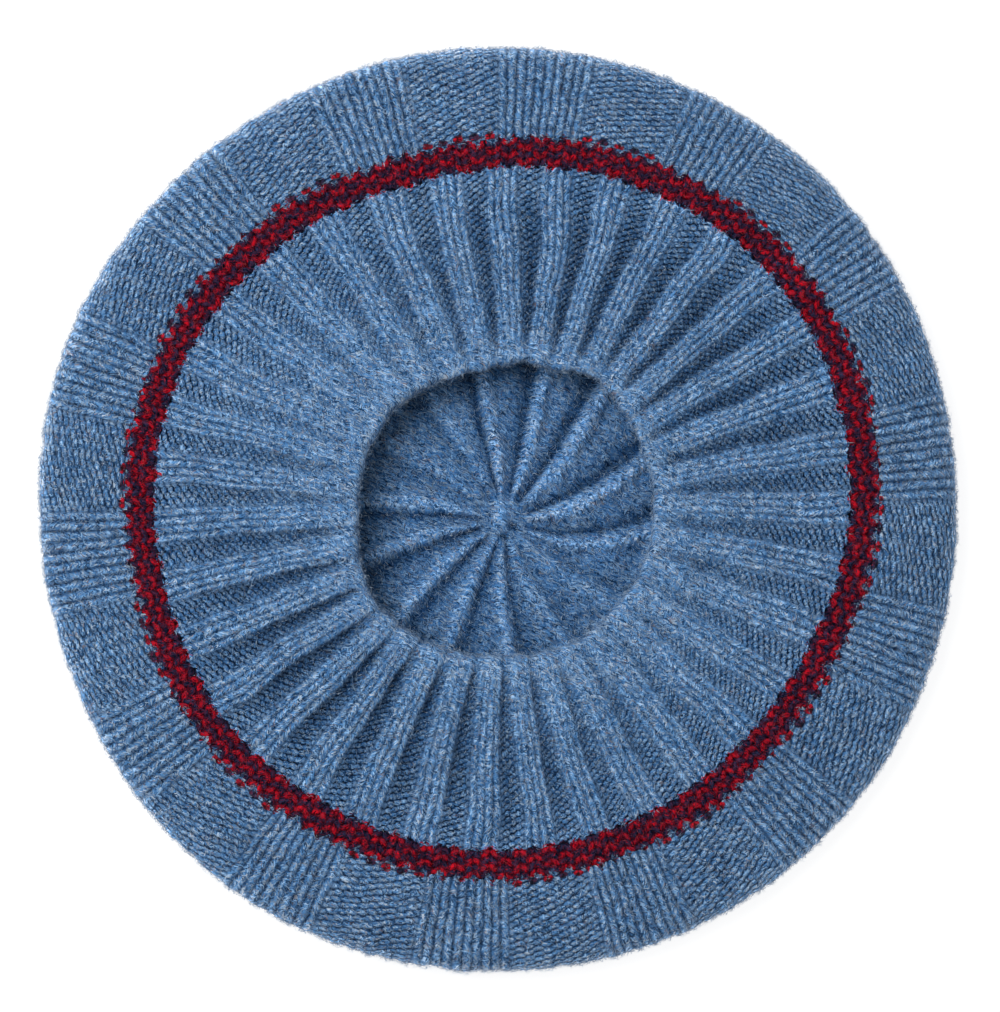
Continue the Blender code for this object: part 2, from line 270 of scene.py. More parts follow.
# %% Stitch formulas
LEG_SLANT = 1.25
ROPE_POWER = 2.0
STROKE_SHARE = 0.12
BAR_LONG = 0.34
BAR_HIGH = 0.44
BAR_LEAN = 0.28
BAR_ARCH = 0.6
BEAN_SLANT = 0.6
BEAN_LONG = 0.52
BEAN_HIGH = 0.52
NOISE_WAVES = 20
NOISE_SPREAD = (0.6, 1.6)


def knit_height(u, v):
    """Height from 0 to 1 of V stitches. With q from 0 in the column's middle to 1 at its sides, the
    two ropes are 1 - |2q - 1|**power, and each row's stroke is half a cosine of v - slant q."""
    q = np.abs(np.mod(u, 1.0) - 0.5) * 2
    rope = 1 - np.abs(2 * q - 1) ** ROPE_POWER
    stroke = 0.5 + 0.5 * np.cos(TURN * (v - LEG_SLANT * q))
    return rope * (1 - STROKE_SHARE + STROKE_SHARE * stroke)


def dome(beside, above, half_long, half_high):
    """Height from 0 to 1 of a lens-shaped dome: sqrt(1 - (beside / long)**2 - (above / high)**2)."""
    return np.sqrt(np.clip(1 - (beside / half_long) ** 2 - (above / half_high) ** 2, 0, 1))


def purl_height(u, v):
    """Height from 0 to 1 of purl bars: the larger of two lattices of domes, at whole stitches and rows
    and at half ones. Above has lean x and arch x**2 in it, with x beside, so the bars lean and arch."""

    def bars(shift, arch):
        beside = np.mod(u - shift + 0.5, 1.0) - 0.5
        above = np.mod(v - shift + 0.5, 1.0) - 0.5 + beside * (BAR_LEAN + arch * beside)
        return dome(beside, above, BAR_LONG, BAR_HIGH)

    return np.maximum(bars(0.0, BAR_ARCH), bars(0.5, -BAR_ARCH))


def bean_height(u, v):
    """Height from 0 to 1 of the stripe's stitches, each leg a short bean: a dome of q - 1/2 and of
    v - slant (q - 1/2) from the row's middle."""
    beside = np.abs(np.mod(u, 1.0) - 0.5) * 2 - 0.5
    return dome(beside, np.mod(v - BEAN_SLANT * beside, 1.0) - 0.5, BEAN_LONG, BEAN_HIGH)


def soft_noise(points, size, seed):
    """Smooth noise of about -1 to 1: a sum of sines along random directions, with wavelengths spread
    round the size. The seed makes it the same on each run."""
    draw = np.random.default_rng(seed)
    direction = draw.normal(size=(NOISE_WAVES, points.shape[-1]))
    direction = unit(direction) * TURN / (size * draw.uniform(*NOISE_SPREAD, size=(NOISE_WAVES, 1)))
    phase = draw.uniform(0, TURN, size=NOISE_WAVES)
    total = np.zeros(points.shape[:-1])
    for way, start in zip(direction, phase):
        total += np.sin(points @ way + start)
    return total / np.sqrt(NOISE_WAVES)


# Each kind of wander or lump: its size, its height and the seed of its noise
WANDER_U = (13 * MM, 0.03, 51)
WANDER_V = (13 * MM, 0.16, 52)


def lumps(points, size, height, seed):
    """Smooth noise of that size, times a height."""
    return soft_noise(points, size, seed) * height


def wandered(u, v, points):
    """The stitch map with each stitch a little out of place: u and v plus smooth noise of the place."""
    flat = points[..., :2]
    return u + lumps(flat, *WANDER_U), v + lumps(flat, *WANDER_V)


print("knit stitch from groove to rope:", knit_height(np.array([0.0, 0.25]), np.array([0.3, 0.3])).round(2))

# %% [markdown]
# ## From rows of points to a closed piece
#
# Each ring of fabric has an outer skin with the stitches, and an inner skin one wall behind it. The
# rows of both, joined end to end, make one closed tube. A UV map keeps u and v in stitches and rows,
# and three values ride on the points for the wool's material: knit or purl, how far the wool is
# felted, and the painted light of the point: painted shade that deepens in a crevice, a painted
# highlight at the fold, and the crown's painted light and shade.

# %% Mesh helpers
UV_NAME = "stitches"


def normals_of(skin):
    """Unit normals of rows of closed rings: the step to the next row crossed with that to the next
    column. They point outwards, as the rows run from the opening out over the fold."""
    along = np.gradient(skin, axis=0)
    across = np.roll(skin, -1, axis=1) - np.roll(skin, 1, axis=1)
    return unit(np.cross(along, across))


def carry(mesh, values):
    """Lays named values on a mesh's points."""
    for name, value in values.items():
        attribute = mesh.attributes.new(name, "FLOAT", "POINT")
        attribute.data.foreach_set("value", np.ascontiguousarray(value, np.float32).ravel())


def add_piece(name, points, u, v, values, closed, slot, nodes):
    """Makes a piece from rows of closed rings. Closed joins the last row to the first; otherwise each
    end closes in a fan. U is wrapped at the seam so that no face runs back."""
    rows, columns = points.shape[:2]
    index = np.arange(rows * columns).reshape(rows, columns)
    row_steps = rows if closed else rows - 1
    here = index[:row_steps]
    over = np.roll(index, -1, axis=0)[:row_steps]
    quads = np.stack([here, over, np.roll(over, -1, axis=1), np.roll(here, -1, axis=1)], -1)
    faces = quads.reshape(-1, 4).tolist()
    flat = points.reshape(-1, 3)
    if not closed:
        flat = np.concatenate([flat, [points[0].mean(axis=0), points[-1].mean(axis=0)]])
        first, last = index[0], index[-1]
        pole = np.full(columns, index.size)
        faces += np.stack([pole, first, np.roll(first, -1)], -1).tolist()
        faces += np.stack([last, pole + 1, np.roll(last, -1)], -1).tolist()
        for key, value in values.items():
            values[key] = np.append(value, [value[0].mean(), value[-1].mean()])
    mesh = bpy.data.meshes.new(name)
    mesh.from_pydata(flat, [], faces)
    mesh.shade_smooth()
    corner = np.empty(len(mesh.loops), int)
    mesh.loops.foreach_get("vertex_index", corner)
    corner_u = np.append(u, [0.0, 0.0])[corner]
    corner_v = np.append(v, [v[0].mean(), v[-1].mean()])[corner]
    quad_u = corner_u[: quads.size].reshape(-1, 4)
    quad_u += np.where(quad_u < quad_u.max(axis=1, keepdims=True) - STITCHES / 2, STITCHES, 0)
    layer = mesh.uv_layers.new(name=UV_NAME)
    layer.data.foreach_set("uv", np.stack([corner_u, corner_v], -1).astype(np.float32).ravel())
    carry(mesh, values)
    mesh.update()
    piece = placed(name, mesh)
    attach(piece, "root")
    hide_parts(*nodes)
    print(name, "has", sum(len(face) - 2 for face in faces), "triangles")
    return piece


def add_ring(name, outer, base, facing, stitch_map, values, back_rows, slot, nodes):
    """Makes a ring of fabric: the outer skin with the stitches, then back over a few even rows of the
    inner skin, the plain base one wall behind. The map and the values go with it."""
    back = np.linspace(0, len(outer) - 1, back_rows).astype(int)[::-1]
    points = np.concatenate([outer, (base - WALL * facing)[back]])
    u, v = (np.concatenate([grid, grid[back]]) for grid in stitch_map)
    values = {key: np.concatenate([grid, grid[back]]) for key, grid in values.items()}
    return add_piece(name, points, u, v, values, True, slot, nodes)


print("helpers ready; the map counts", STITCHES, "stitches round")

# %% [markdown]
# ## The ribbed band
#
# Thirty-five ribs, each two stitches of knit and two of purl, run from the stripe to the opening. The
# opening is less than half as wide as the stripe, so the purl stitches fold down into narrow valleys
# and the knit stitches stand up in ridges that keep their width. In two quarters of the beret the
# wool is felted flatter, and the ribs are shallow. At the rim the fabric rolls over and turns down.
#
# The band is one grid. Its columns follow the stitches, so the ribs keep their two stitches while
# the valleys narrow, and its rows follow the fabric from the turned-in edge over the rim.

# %% Columns across knit and purl stitches
HALF_KNIT = (0.0, 0.14, 0.36)
PURL_STITCH = (0.0, 0.25, 0.5, 0.75)


def stitch_columns(knit_stitches, purl_stitches, repeats, half_knit, purl_stitch):
    """Stitch numbers of the columns round the beret: finer across the ropes of the knit stitches."""
    knit = np.array([half + 0.5 * side for side in (0, 1) for half in half_knit])
    purl = np.array(purl_stitch)
    block = np.concatenate(
        [number + knit for number in range(knit_stitches)]
        + [knit_stitches + number + purl for number in range(purl_stitches)]
    )
    wide = knit_stitches + purl_stitches
    return (block[None, :] + wide * np.arange(repeats)[:, None]).ravel()


def knitted(u, v, knit_stitches, wide, base):
    """Stitches over a plain skin: 1 where knit, 0 where purl and 0.5 on the line between, the stitch
    map, and the height of the stitch from 0 to 1."""
    place = np.mod(u, wide)
    on_line = np.isclose(place, 0) | np.isclose(place, knit_stitches) | np.isclose(place, wide)
    knit = np.where(on_line, 0.5, (place < knit_stitches).astype(float))
    knit = np.broadcast_to(knit, base.shape[:2])
    stitch_map = wandered(u, v[:, None], base)
    return knit, stitch_map, knit * knit_height(*stitch_map) + (1 - knit) * purl_height(*stitch_map)


band_u = stitch_columns(RIB_KNIT, RIB_STITCHES - RIB_KNIT, RIB_COUNT, HALF_KNIT, PURL_STITCH)
print("columns round the band:", len(band_u))

# %% The band's section
# From the turned-in edge over the rim to the stripe. Columns: share of the way in to the opening,
# share of the rise from stripe to rim, share of the hem's depth, share of the rib relief, share by
# which the relief follows the gathers, share of the pitch that a rib fills, share of felting.
BAND_SECTION = (
    (0.990, 1.00, 1.00, 0.00, 1.0, 0.80, 1.0),
    (1.000, 1.00, 0.58, 0.04, 1.0, 0.80, 1.0),
    (0.993, 1.00, 0.20, 0.10, 1.0, 0.80, 1.0),
    (0.962, 1.00, 0.00, 0.25, 1.0, 0.80, 0.9),
    (0.900, 0.96, 0.00, 0.65, 1.0, 0.79, 0.55),
    (0.800, 0.87, 0.00, 1.00, 1.0, 0.76, 0.25),
    (0.640, 0.70, 0.00, 1.05, 1.0, 0.70, 0.1),
    (0.360, 0.42, 0.00, 0.95, 0.9, 0.63, 0.0),
    (0.120, 0.16, 0.00, 0.55, 0.8, 0.59, 0.0),
    (0.000, 0.00, 0.00, 0.25, 0.0, 0.57, 0.0),
)
BAND_ROWS = 32
ROW_STEPS = 4
BAND_BACK_ROWS = 9
STITCH_RELIEF = 0.75 * MM
FELT_FLATTENS = 0.8
FELT_POWER = 1.5
band_near = STRIPE_RADIUS - STRIPE_WIDTH / 2
band_steps = BAND_ROWS * ROW_STEPS


def band_nominal(columns):
    """Radius and height of the band's section, without waves."""
    across, rise, hem = columns[:3]
    radius = band_near + across * (OPENING_RADIUS - band_near)
    return radius, STRIPE_HEIGHT + rise * RIM_RISE - hem * HEM_DEPTH


band_columns, band_length = even_rows(BAND_SECTION, band_nominal, ((len(BAND_SECTION) - 1, band_steps),))
band_v = np.arange(band_steps + 1) / ROW_STEPS
print("a row of the band, mm:", round(band_length[-1] / BAND_ROWS / MM, 2))

# %% The band's surface
RIB_WANDER = np.radians(0.35)
RIB_WANDER_SIZE = 0.45
RIM_WOBBLE = 0.7 * MM
RIM_WOBBLE_SIZE = 0.5
RIM_SCALLOP = 0.5 * MM
RIM_FAVOUR = 3.0
# Powers of the way in, by which the wander fades, and the wobble, the scallops and the fuzz come in
CALM_POWER, WOBBLE_POWER, SCALLOP_POWER, FAVOUR_POWER = 4, 6, 8, 12
DOME_POWER = 3.0
DOME_DROP = 0.5
# Painted shade: how deep a rib must stand for the middle of its valley to be painted fully dark
DEEPEST_RIB = 1.3
EDGE_ROWS = 0.6
# The ribs grow shallow over the last rows before the stripe, down to this share of their depth
LAST_ROWS, LAST_DEPTH = 1.5, 0.25
# Height of a stitch, from 0 to 1, that lies level with the plain skin
BAND_LEVEL = 0.6
BAND_LUMPS = (5 * MM, 0.22 * MM, 12)
# A valley, from the rib before it to the next: it lies deepest close behind the first. Columns: share
# of the valley, share of the relief.
VALLEY_SHAPE = ((0.0, 0.5), (0.08, 0.2), (0.2, 0.0), (0.45, 0.08), (0.75, 0.3), (1.0, 0.5))


def seam_fade(v, first, last):
    """Rises from 0 at either end row to 1 over a little more than half a row."""
    return np.clip(np.minimum(v - first, last - v) / EDGE_ROWS, 0, 1)


def rib_grid(u, columns):
    """The band's plain skin, and how each point's rib stands. A rib's stitches fill their share of the
    pitch evenly and the valley's the rest. The relief is 1 - drop |w|**power over the rib, and the
    valley's table between ribs."""
    across, rise, hem, rib, follow, filled, felt = (column[:, None] for column in columns)
    pitch = TURN / RIB_COUNT
    place = np.mod(u, RIB_STITCHES)
    number = (u - place) / RIB_STITCHES
    half_width = place - 1
    valley = np.clip(half_width - 1, 0, 2) / 2
    share = np.where(half_width <= 1, filled / 2 * half_width, filled / 2 + (1 - filled) * valley)
    nominal = FIRST_RIB + pitch * (number + share)
    lean = np.radians(around(RIB_LEAN, nominal))
    bearing = nominal + np.radians(around(RIB_SHIFT, nominal)) + across * lean
    track = np.stack([np.cos(nominal), np.sin(nominal), across + 0 * nominal], -1)
    wander = RIB_WANDER * (1 - across**CALM_POWER)
    bearing = bearing + wander * soft_noise(track, RIB_WANDER_SIZE, seed=11)
    near = stripe_edge(-STRIPE_WIDTH / 2 - SEAM_CLEARANCE / 2, bearing)
    rim = opening_edge(bearing)
    crest = 1 - DOME_DROP * np.abs(np.clip(half_width, -1, 1)) ** DOME_POWER
    relief = np.where(half_width <= 1, crest, smooth_curve(valley, *zip(*VALLEY_SHAPE))) + 0 * bearing
    depth = 1 + follow * (around(RIB_DEPTH, nominal) - 1)
    wobble = across**WOBBLE_POWER * RIM_WOBBLE * soft_noise(track[..., :2], RIM_WOBBLE_SIZE, seed=13)
    wobble = wobble + across**SCALLOP_POWER * RIM_SCALLOP * depth * (1 - relief)
    edge = near + across[..., None] * (rim - near) + wobble[..., None] * rim / OPENING_RADIUS
    height = sagged(STRIPE_HEIGHT + rise * RIM_RISE, bearing) - hem * HEM_DEPTH
    drop = rib * RIB_RELIEF * depth * (relief - 1)
    gathered_felt = around(BAND_FELT, nominal) * np.clip(across, 0, 1) ** FELT_POWER
    felted = np.clip(felt + (1 - felt) * gathered_felt, 0, 1)
    # Painted shade: valleys are painted darker the deeper their ribs stand, in place of the shade that
    # falls in them
    painted_crevice_light = np.clip(1 - (1 - relief) * depth * rib / DEEPEST_RIB, 0, 1)
    return raised(edge, height), drop, painted_crevice_light, felted


base, drop, painted_crevice_light, felted = rib_grid(band_u, band_columns)
drop = drop * np.clip((BAND_ROWS - band_v) / LAST_ROWS, LAST_DEPTH, 1)[:, None]
facing = normals_of(base)
facing[-1] = (0, 0, 1)
ribbed = base + drop[..., None] * facing
ribbed_facing = normals_of(ribbed)
ribbed_facing[-1] = (0, 0, 1)
knit, stitch_map, stitch = knitted(band_u, band_v, RIB_KNIT, RIB_STITCHES, base)
relief = (stitch - BAND_LEVEL) * STITCH_RELIEF * (1 - FELT_FLATTENS * felted) + lumps(ribbed, *BAND_LUMPS)
fade = seam_fade(band_v, -1.0, BAND_ROWS)[:, None]
band_skin = ribbed + (relief * fade)[..., None] * ribbed_facing
band_favour = 1 + RIM_FAVOUR * np.clip(band_columns[0], 0, 1)[:, None] ** FAVOUR_POWER
values = {"knit": knit, "felt": felted, "relief": painted_crevice_light}
maps = (stitch_map, values, BAND_BACK_ROWS)
band = add_ring("knitted_band", band_skin, ribbed, facing, *maps, "blue_wool", ["ribbed_band"])

# %% [markdown]
# ## The stripe
#
# Four rows of knit stitches in red and navy by turns. The ring is narrow, so a short section does. Its
# stitches follow the ribs' shift, so that each sits over the rib stitch that it was knitted into.

# %% The stripe's surface
STRIPE_ROWS = 4
STRIPE_STEPS = 5
STRIPE_BACK_ROWS = 3
STRIPE_PUFF = 0.5 * MM
STRIPE_BEAN = 0.85 * MM
STRIPE_FELT = 0.2
STRIPE_LUMPS = (4 * MM, 0.25 * MM, 21)
stripe_u = stitch_columns(1, 0, STITCHES, HALF_KNIT, PURL_STITCH)
stripe_v = BAND_ROWS + np.arange(STRIPE_ROWS * STRIPE_STEPS + 1) / STRIPE_STEPS
nominal = FIRST_RIB + TURN / STITCHES * (stripe_u - 1)
bearing = nominal + np.radians(around(RIB_SHIFT, nominal)) + 0 * stripe_v[:, None]
out = ((stripe_v - BAND_ROWS) / STRIPE_ROWS)[:, None]
offset = (STRIPE_WIDTH + SEAM_CLEARANCE) * (out - 0.5)
base = raised(stripe_edge(offset[..., None], bearing), sagged(STRIPE_HEIGHT, bearing))
facing = np.broadcast_to((0.0, 0.0, 1.0), base.shape)
stripe_map = wandered(stripe_u, stripe_v[:, None], base)
relief = (bean_height(*stripe_map) - BAND_LEVEL) * STRIPE_BEAN + lumps(base, *STRIPE_LUMPS)
fade = seam_fade(stripe_v, BAND_ROWS, BAND_ROWS + STRIPE_ROWS)[:, None]
stripe_skin = base + (STRIPE_PUFF * 4 * out * (1 - out) + relief * fade)[..., None] * facing
ones = np.ones(bearing.shape)
values = {"knit": ones, "felt": STRIPE_FELT * ones, "relief": ones}
maps = (stripe_map, values, STRIPE_BACK_ROWS)
stripe = add_ring("knitted_stripe", stripe_skin, base, facing, *maps, "stripe_wool", ["stripe"])

# %% [markdown]
# ## The side, over the fold and under it
#
# Outside the stripe the stitches change to wide panels: five columns of knit, whose ropes part into
# clear lines, then five of purl, which look smooth from afar. The fabric turns under at the fold and
# runs back to the crown. One grid covers both, so that nothing shows at the outermost line.

# %% The side's section
# From the stripe out to the fold, then back under it. Columns: share of the way out to the outline,
# share of the stripe's height, share of the panel step, 0 over the fold and 1 under it.
SIDE_SECTION = (
    (0.00, 1.00, 0.4, 0),
    (0.20, 0.985, 0.8, 0),
    (0.42, 0.95, 0.8, 0),
    (0.74, 0.87, 0.6, 0),
    (0.93, 0.72, 0.4, 0),
    (1.00, 0.48, 0.3, 0.5),
    (0.90, 0.27, 0.5, 1),
    (0.68, 0.10, 0.8, 1),
    (0.35, 0.01, 0.3, 1),
    (0.00, 0.00, 0.0, 1),
)
FOLD_ROW = 5
OVER_STEPS = 66
UNDER_STEPS = 22
SIDE_HALF_KNIT = (0.0, 0.1, 0.25, 0.4)
SIDE_PURL = np.arange(6) / 6
side_u = stitch_columns(
    PAIR_KNIT, PAIR_STITCHES - PAIR_KNIT, PANEL_PAIR_COUNT, SIDE_HALF_KNIT, SIDE_PURL
)
side_near = STRIPE_RADIUS + STRIPE_WIDTH / 2


def side_nominal(columns):
    """Radius and height of the side's section, without waves."""
    out, height, step, under = columns
    near = side_near + (under > 0.5) * (CROWN_RADIUS - side_near)
    return near + out * (OUTLINE_RADIUS - near), height * STRIPE_HEIGHT


side_columns, side_length = even_rows(
    SIDE_SECTION, side_nominal, ((FOLD_ROW, OVER_STEPS), (len(SIDE_SECTION) - 1, UNDER_STEPS))
)
side_first = BAND_ROWS + STRIPE_ROWS
side_v = side_first + side_length / ROW
print("rows of knitting on the side:", round(side_v[-1] - side_first, 1))

# %% The side's surface
PANEL_LEVEL_EDGE = 0.35
PURL_SWELL = 0.35
SIDE_ROPE = 0.85 * MM
SIDE_LEVEL = 0.7
SIDE_FELT = 0.12
SIDE_LUMPS = (7 * MM, 0.25 * MM, 32)
SIDE_BACK_ROWS = 11
# The ropes flatten round the fold: share lost there, and its height and span as shares of the stripe's
FOLD_FLATTENS, FOLD_HEIGHT, FOLD_SPAN = 0.75, 0.48, 0.3
# All relief flattens near the floor: the height where it begins, the span, and the least share left
REST_HEIGHT, REST_SPAN, REST_LEAST = 0.02, 0.1, 0.15
# The fold is painted paler, a painted highlight for the sheen of its loose fibre, and loose fibre grows
# closer there: by how much each, and how far both reach
FOLD_HIGHLIGHT = 2.8
FOLD_FAVOUR = 14.0
FOLD_REACH = 1.1 * MM
FUZZ_ROWS = OVER_STEPS + UNDER_STEPS // 3


def panel_grid(u, columns):
    """The side's plain skin, how far each point steps down in a purl panel, and its distance from the
    fold's outermost line as seen from above."""
    out, height, step, under = (column[:, None] for column in columns)
    nominal = FIRST_PANEL + TURN / STITCHES * u
    bearing = nominal + np.radians(around(PANEL_SHIFT, nominal)) + 0 * out
    far = outline_edge(bearing)
    over_near = stripe_edge(STRIPE_WIDTH / 2 + SEAM_CLEARANCE / 2, bearing)
    under_near = crown_edge(SEAM_CLEARANCE / 2, bearing)
    near = np.where((under > 0.5)[..., None], under_near, over_near)
    edge = near + out[..., None] * (far - near)
    from_fold = np.linalg.norm(far - edge, axis=-1)
    place = np.mod(u, PAIR_STITCHES)
    rise = np.clip(np.minimum(place, PAIR_KNIT - place) / PANEL_LEVEL_EDGE, 0, 1)
    across_purl = np.clip((place - PAIR_KNIT) / (PAIR_STITCHES - PAIR_KNIT), 0, 1)
    swell = PURL_SWELL * np.sin(np.pi * across_purl)
    level = np.where(place > PAIR_KNIT, swell, rise * rise * (3 - 2 * rise)) + 0 * bearing
    return raised(edge, sagged(height * STRIPE_HEIGHT, bearing)), step * PANEL_STEP * (level - 1), from_fold


base, drop, from_fold = panel_grid(side_u, side_columns)
facing = normals_of(base)
facing[0] = (0, 0, 1)
facing[-1] = (0, 0, -1)
stepped = base + drop[..., None] * facing
knit, stitch_map, stitch = knitted(side_u, side_v, PAIR_KNIT, PAIR_STITCHES, base)
height = side_columns[1][:, None]
rope_share = 1 - FOLD_FLATTENS * np.exp(-(((height - FOLD_HEIGHT) / FOLD_SPAN) ** 2))
thick = (knit * SIDE_ROPE + (1 - knit) * STITCH_RELIEF) * rope_share
fade = seam_fade(side_v, side_first, side_v[-1] + 1)[:, None]
relief = (stitch - SIDE_LEVEL) * thick + lumps(stepped, *SIDE_LUMPS) * fade
relief = relief * np.clip((height - REST_HEIGHT) / REST_SPAN, REST_LEAST, 1)
outer = stepped + relief[..., None] * facing
outer[..., 2] = np.maximum(outer[..., 2], 0.0)
near_fold = np.exp(-from_fold / FOLD_REACH)
side_skin = outer[:FUZZ_ROWS]
side_favour = 1 + FOLD_FAVOUR * near_fold[:FUZZ_ROWS]
# Painted highlight: the side's colour is painted paler close to the fold's outermost line
values = {"knit": knit, "felt": SIDE_FELT + 0 * near_fold, "relief": 1 + FOLD_HIGHLIGHT * near_fold}
maps = (stitch_map, values, SIDE_BACK_ROWS)
side = add_ring("knitted_side", outer, stepped, facing, *maps, "blue_wool", ["side_panels", "lower_fold"])

# %% [markdown]
# ## The crown
#
# The round top lies on the table. From above, its wrong side shows through the opening: fourteen
# decrease lines stand up like soft ropes and run together at a small knot. Each line has a gentle side
# and a steep one, with a crease behind the steep one, as where one segment is drawn over the next.

# %% The decrease lines
# Columns: bearing of the steep side near the rim, the same near the middle, how strongly it stands up.
SPOKES = np.array((
    (22.3, 14.8, 1.0), (52.8, 48.5, 1.15), (75.8, 75.0, 0.95), (100.5, 102.0, 0.9), (123.0, 121.0, 0.4),
    (150.0, 147.0, 0.35), (176.0, 173.3, 0.8), (199.2, 196.3, 0.9), (227.2, 222.0, 0.9),
    (250.4, 249.3, 0.8), (275.7, 271.5, 0.75), (299.0, 295.0, 0.4), (325.0, 320.0, 0.35),
    (356.5, 341.5, 0.85),
))
SPOKE_NEAR = 15.0 * MM
SPOKE_FAR = 43.0 * MM
SPOKE_TURN = (-0.3, 1.15)
# Share of the width before or behind the steep side, and share of the height there
RIDGE_SHAPE = ((-1.0, 0.0), (-0.85, 0.3), (-0.62, 0.85), (-0.42, 1.0), (-0.2, 0.85), (0.0, 0.25))
CREASE_SHAPE = ((0.0, 0.3), (0.12, -0.2), (0.28, -0.45), (0.55, -0.25), (1.0, 0.0))
RIDGE_WIDTH = 5.4 * MM
CREASE_WIDTH = 11.0 * MM
RIDGE_MOST = 0.55
SPOKE_RELIEF = 1.7 * MM
ACROSS_SEGMENT = np.array(
    (0.0, 0.012, 0.025, 0.04, 0.06, 0.085, 0.115, 0.15, 0.19, 0.24, 0.3, 0.36, 0.42, 0.48, 0.54)
    + (0.6, 0.655, 0.7, 0.74, 0.775, 0.81, 0.84, 0.87, 0.895, 0.92, 0.94, 0.96, 0.975, 0.988)
)
CROWN_FINE = 50.0 * MM
KNOT_PLACE = (1.0 * MM, -1.5 * MM)
KNOT_SIZE = (2.4 * MM, 4.4 * MM)
KNOT_HEIGHT = 1.5 * MM
KNOT_HOLES = ((1.6 * MM, -8.5 * MM), (4.3 * MM, -5.4 * MM))
HOLE_SIZE = 1.5 * MM
HOLE_DEPTH = 0.5 * MM
crown_place = (np.arange(SPOKE_COUNT)[:, None] + ACROSS_SEGMENT).ravel()
print("columns round the crown:", len(crown_place))


def spoke_column(column):
    """A column of the table read round the crown, straight from each line to the next."""
    turn = np.degrees(TURN) if column < 2 else 0.0
    values = np.append(SPOKES[:, column], SPOKES[0, column] + turn)
    return np.interp(crown_place, np.arange(SPOKE_COUNT + 1), values)


def crown_bearing(radius):
    """Bearing at each column: it turns from the middle's value to the rim's as the radius grows."""
    far, near = np.radians(spoke_column(0)), np.radians(spoke_column(1))
    share = np.clip((radius - SPOKE_NEAR) / (SPOKE_FAR - SPOKE_NEAR), *SPOKE_TURN)
    return near + share * (far - near)


def gathered(radius, bearing):
    """Point on the crown: a circle whose middle moves to the gathered knot as the radius shrinks."""
    pull = (1 - radius / CROWN_RADIUS)[..., None] * np.array(GATHER_OFFSET)
    return circle(1.0, (), bearing) * radius[..., None] + pull - MIDDLE


def line_relief(radius):
    """Height of the decrease lines from -0.5 to 1: the ridge before the next steep side, plus the
    crease behind the last. Near the middle both are shares of the segment."""
    segment = TURN / SPOKE_COUNT * radius
    place = np.mod(crown_place, 1.0)
    number = np.floor(crown_place).astype(int)
    last, following = SPOKES[number, 2], SPOKES[(number + 1) % SPOKE_COUNT, 2]
    before = (place - 1) * segment / np.minimum(RIDGE_WIDTH, RIDGE_MOST * segment)
    behind = place * segment / np.minimum(CREASE_WIDTH, (1 - RIDGE_MOST) * segment)
    ridge = smooth_curve(np.clip(before, -1, 0), *zip(*RIDGE_SHAPE))
    crease = smooth_curve(np.clip(behind, 0, 1), *zip(*CREASE_SHAPE))
    ridge = np.where(before > -1, ridge, 0.0)
    crease = np.where(behind < 1, crease, 0.0)
    return ridge * following + crease * last


# %% The crown's two skins
INSIDE_STEPS = 104
INSIDE_COARSE = 16
OUTSIDE_STEPS = 104
POLE_RADIUS = 0.4 * MM
CALM_FROM = 5.4 * MM
CALM_TO = 9.4 * MM
INSIDE_RISE = 0.8 * MM
EDGE_FADE = 6 * MM
TWIST_RELIEF = 0.6 * MM
TWIST_STEPS = 4
CROWN_LUMPS = (3.2 * MM, 0.26 * MM, 41)
CROWN_SWELLS = (9 * MM, 0.25 * MM, 42)
# Light that reaches the felt between lines, and what a line, its twists and the knot add
GROUND_LIGHT, LINE_LIGHT, TWIST_LIGHT, KNOT_LIGHT = 0.40, 0.40, 0.24, 0.8
# What a crease and a hole take away, the most light there is, and what reaches the outside
CREASE_DARK, HOLE_DARK, MOST_LIGHT, OUTSIDE_LIGHT = 1.1, 0.6, 1.15, 0.65
# The outside: share of a segment that is knit, how far it is felted, how wide its ribs are, its relief
KNIT_SEGMENT = 0.5
OUTSIDE_FELT = 0.3
OUTSIDE_RIB = 5.3 * MM
PURL_RISE = 0.27 * MM
RIB_RISE = 0.30 * MM
LINE_RISE = 0.7 * MM
LINE_WIDTH = 1.2 * MM


def crown_grid(radius):
    """A skin of the crown at the floor, and its rows of knitting."""
    bearing = crown_bearing(radius)
    rows = side_v[-1] + (CROWN_RADIUS - radius) / ROW + 0 * bearing
    return raised(gathered(radius + 0 * bearing, bearing), 0.0), rows


fine = np.linspace(POLE_RADIUS, CROWN_FINE, INSIDE_STEPS)
coarse = np.linspace(CROWN_FINE, CROWN_RADIUS, INSIDE_COARSE + 1)
inside_radius = np.concatenate([fine, coarse[1:]])[:, None]
inside, inside_v = crown_grid(inside_radius)
calm = np.clip((inside_radius - CALM_FROM) / (CALM_TO - CALM_FROM), 0, 1)
lines = line_relief(inside_radius) * calm
ridges = np.clip(lines, 0, 1)
twist = 0.5 + 0.5 * np.cos(TURN * (inside_v + crown_place * TWIST_STEPS))
knot_beside, knot_above = ((inside[..., axis] - KNOT_PLACE[axis]) / KNOT_SIZE[axis] for axis in (0, 1))
knot = np.exp(-(knot_beside**2) - knot_above**2)
from_hole = [np.linalg.norm(inside[..., :2] - hole, axis=-1) / HOLE_SIZE for hole in KNOT_HOLES]
holes = sum(np.exp(-(distance**2)) for distance in from_hole)
rise = INSIDE_RISE + lines * SPOKE_RELIEF + knot * KNOT_HEIGHT - holes * HOLE_DEPTH
rise = rise + lumps(inside, *CROWN_LUMPS) + lumps(inside, *CROWN_SWELLS)
rise = rise + ridges * (twist - 0.5) * TWIST_RELIEF
edge_fade = np.clip((CROWN_RADIUS - inside_radius) / EDGE_FADE, 0, 1)
inside[..., 2] = WALL + rise * edge_fade
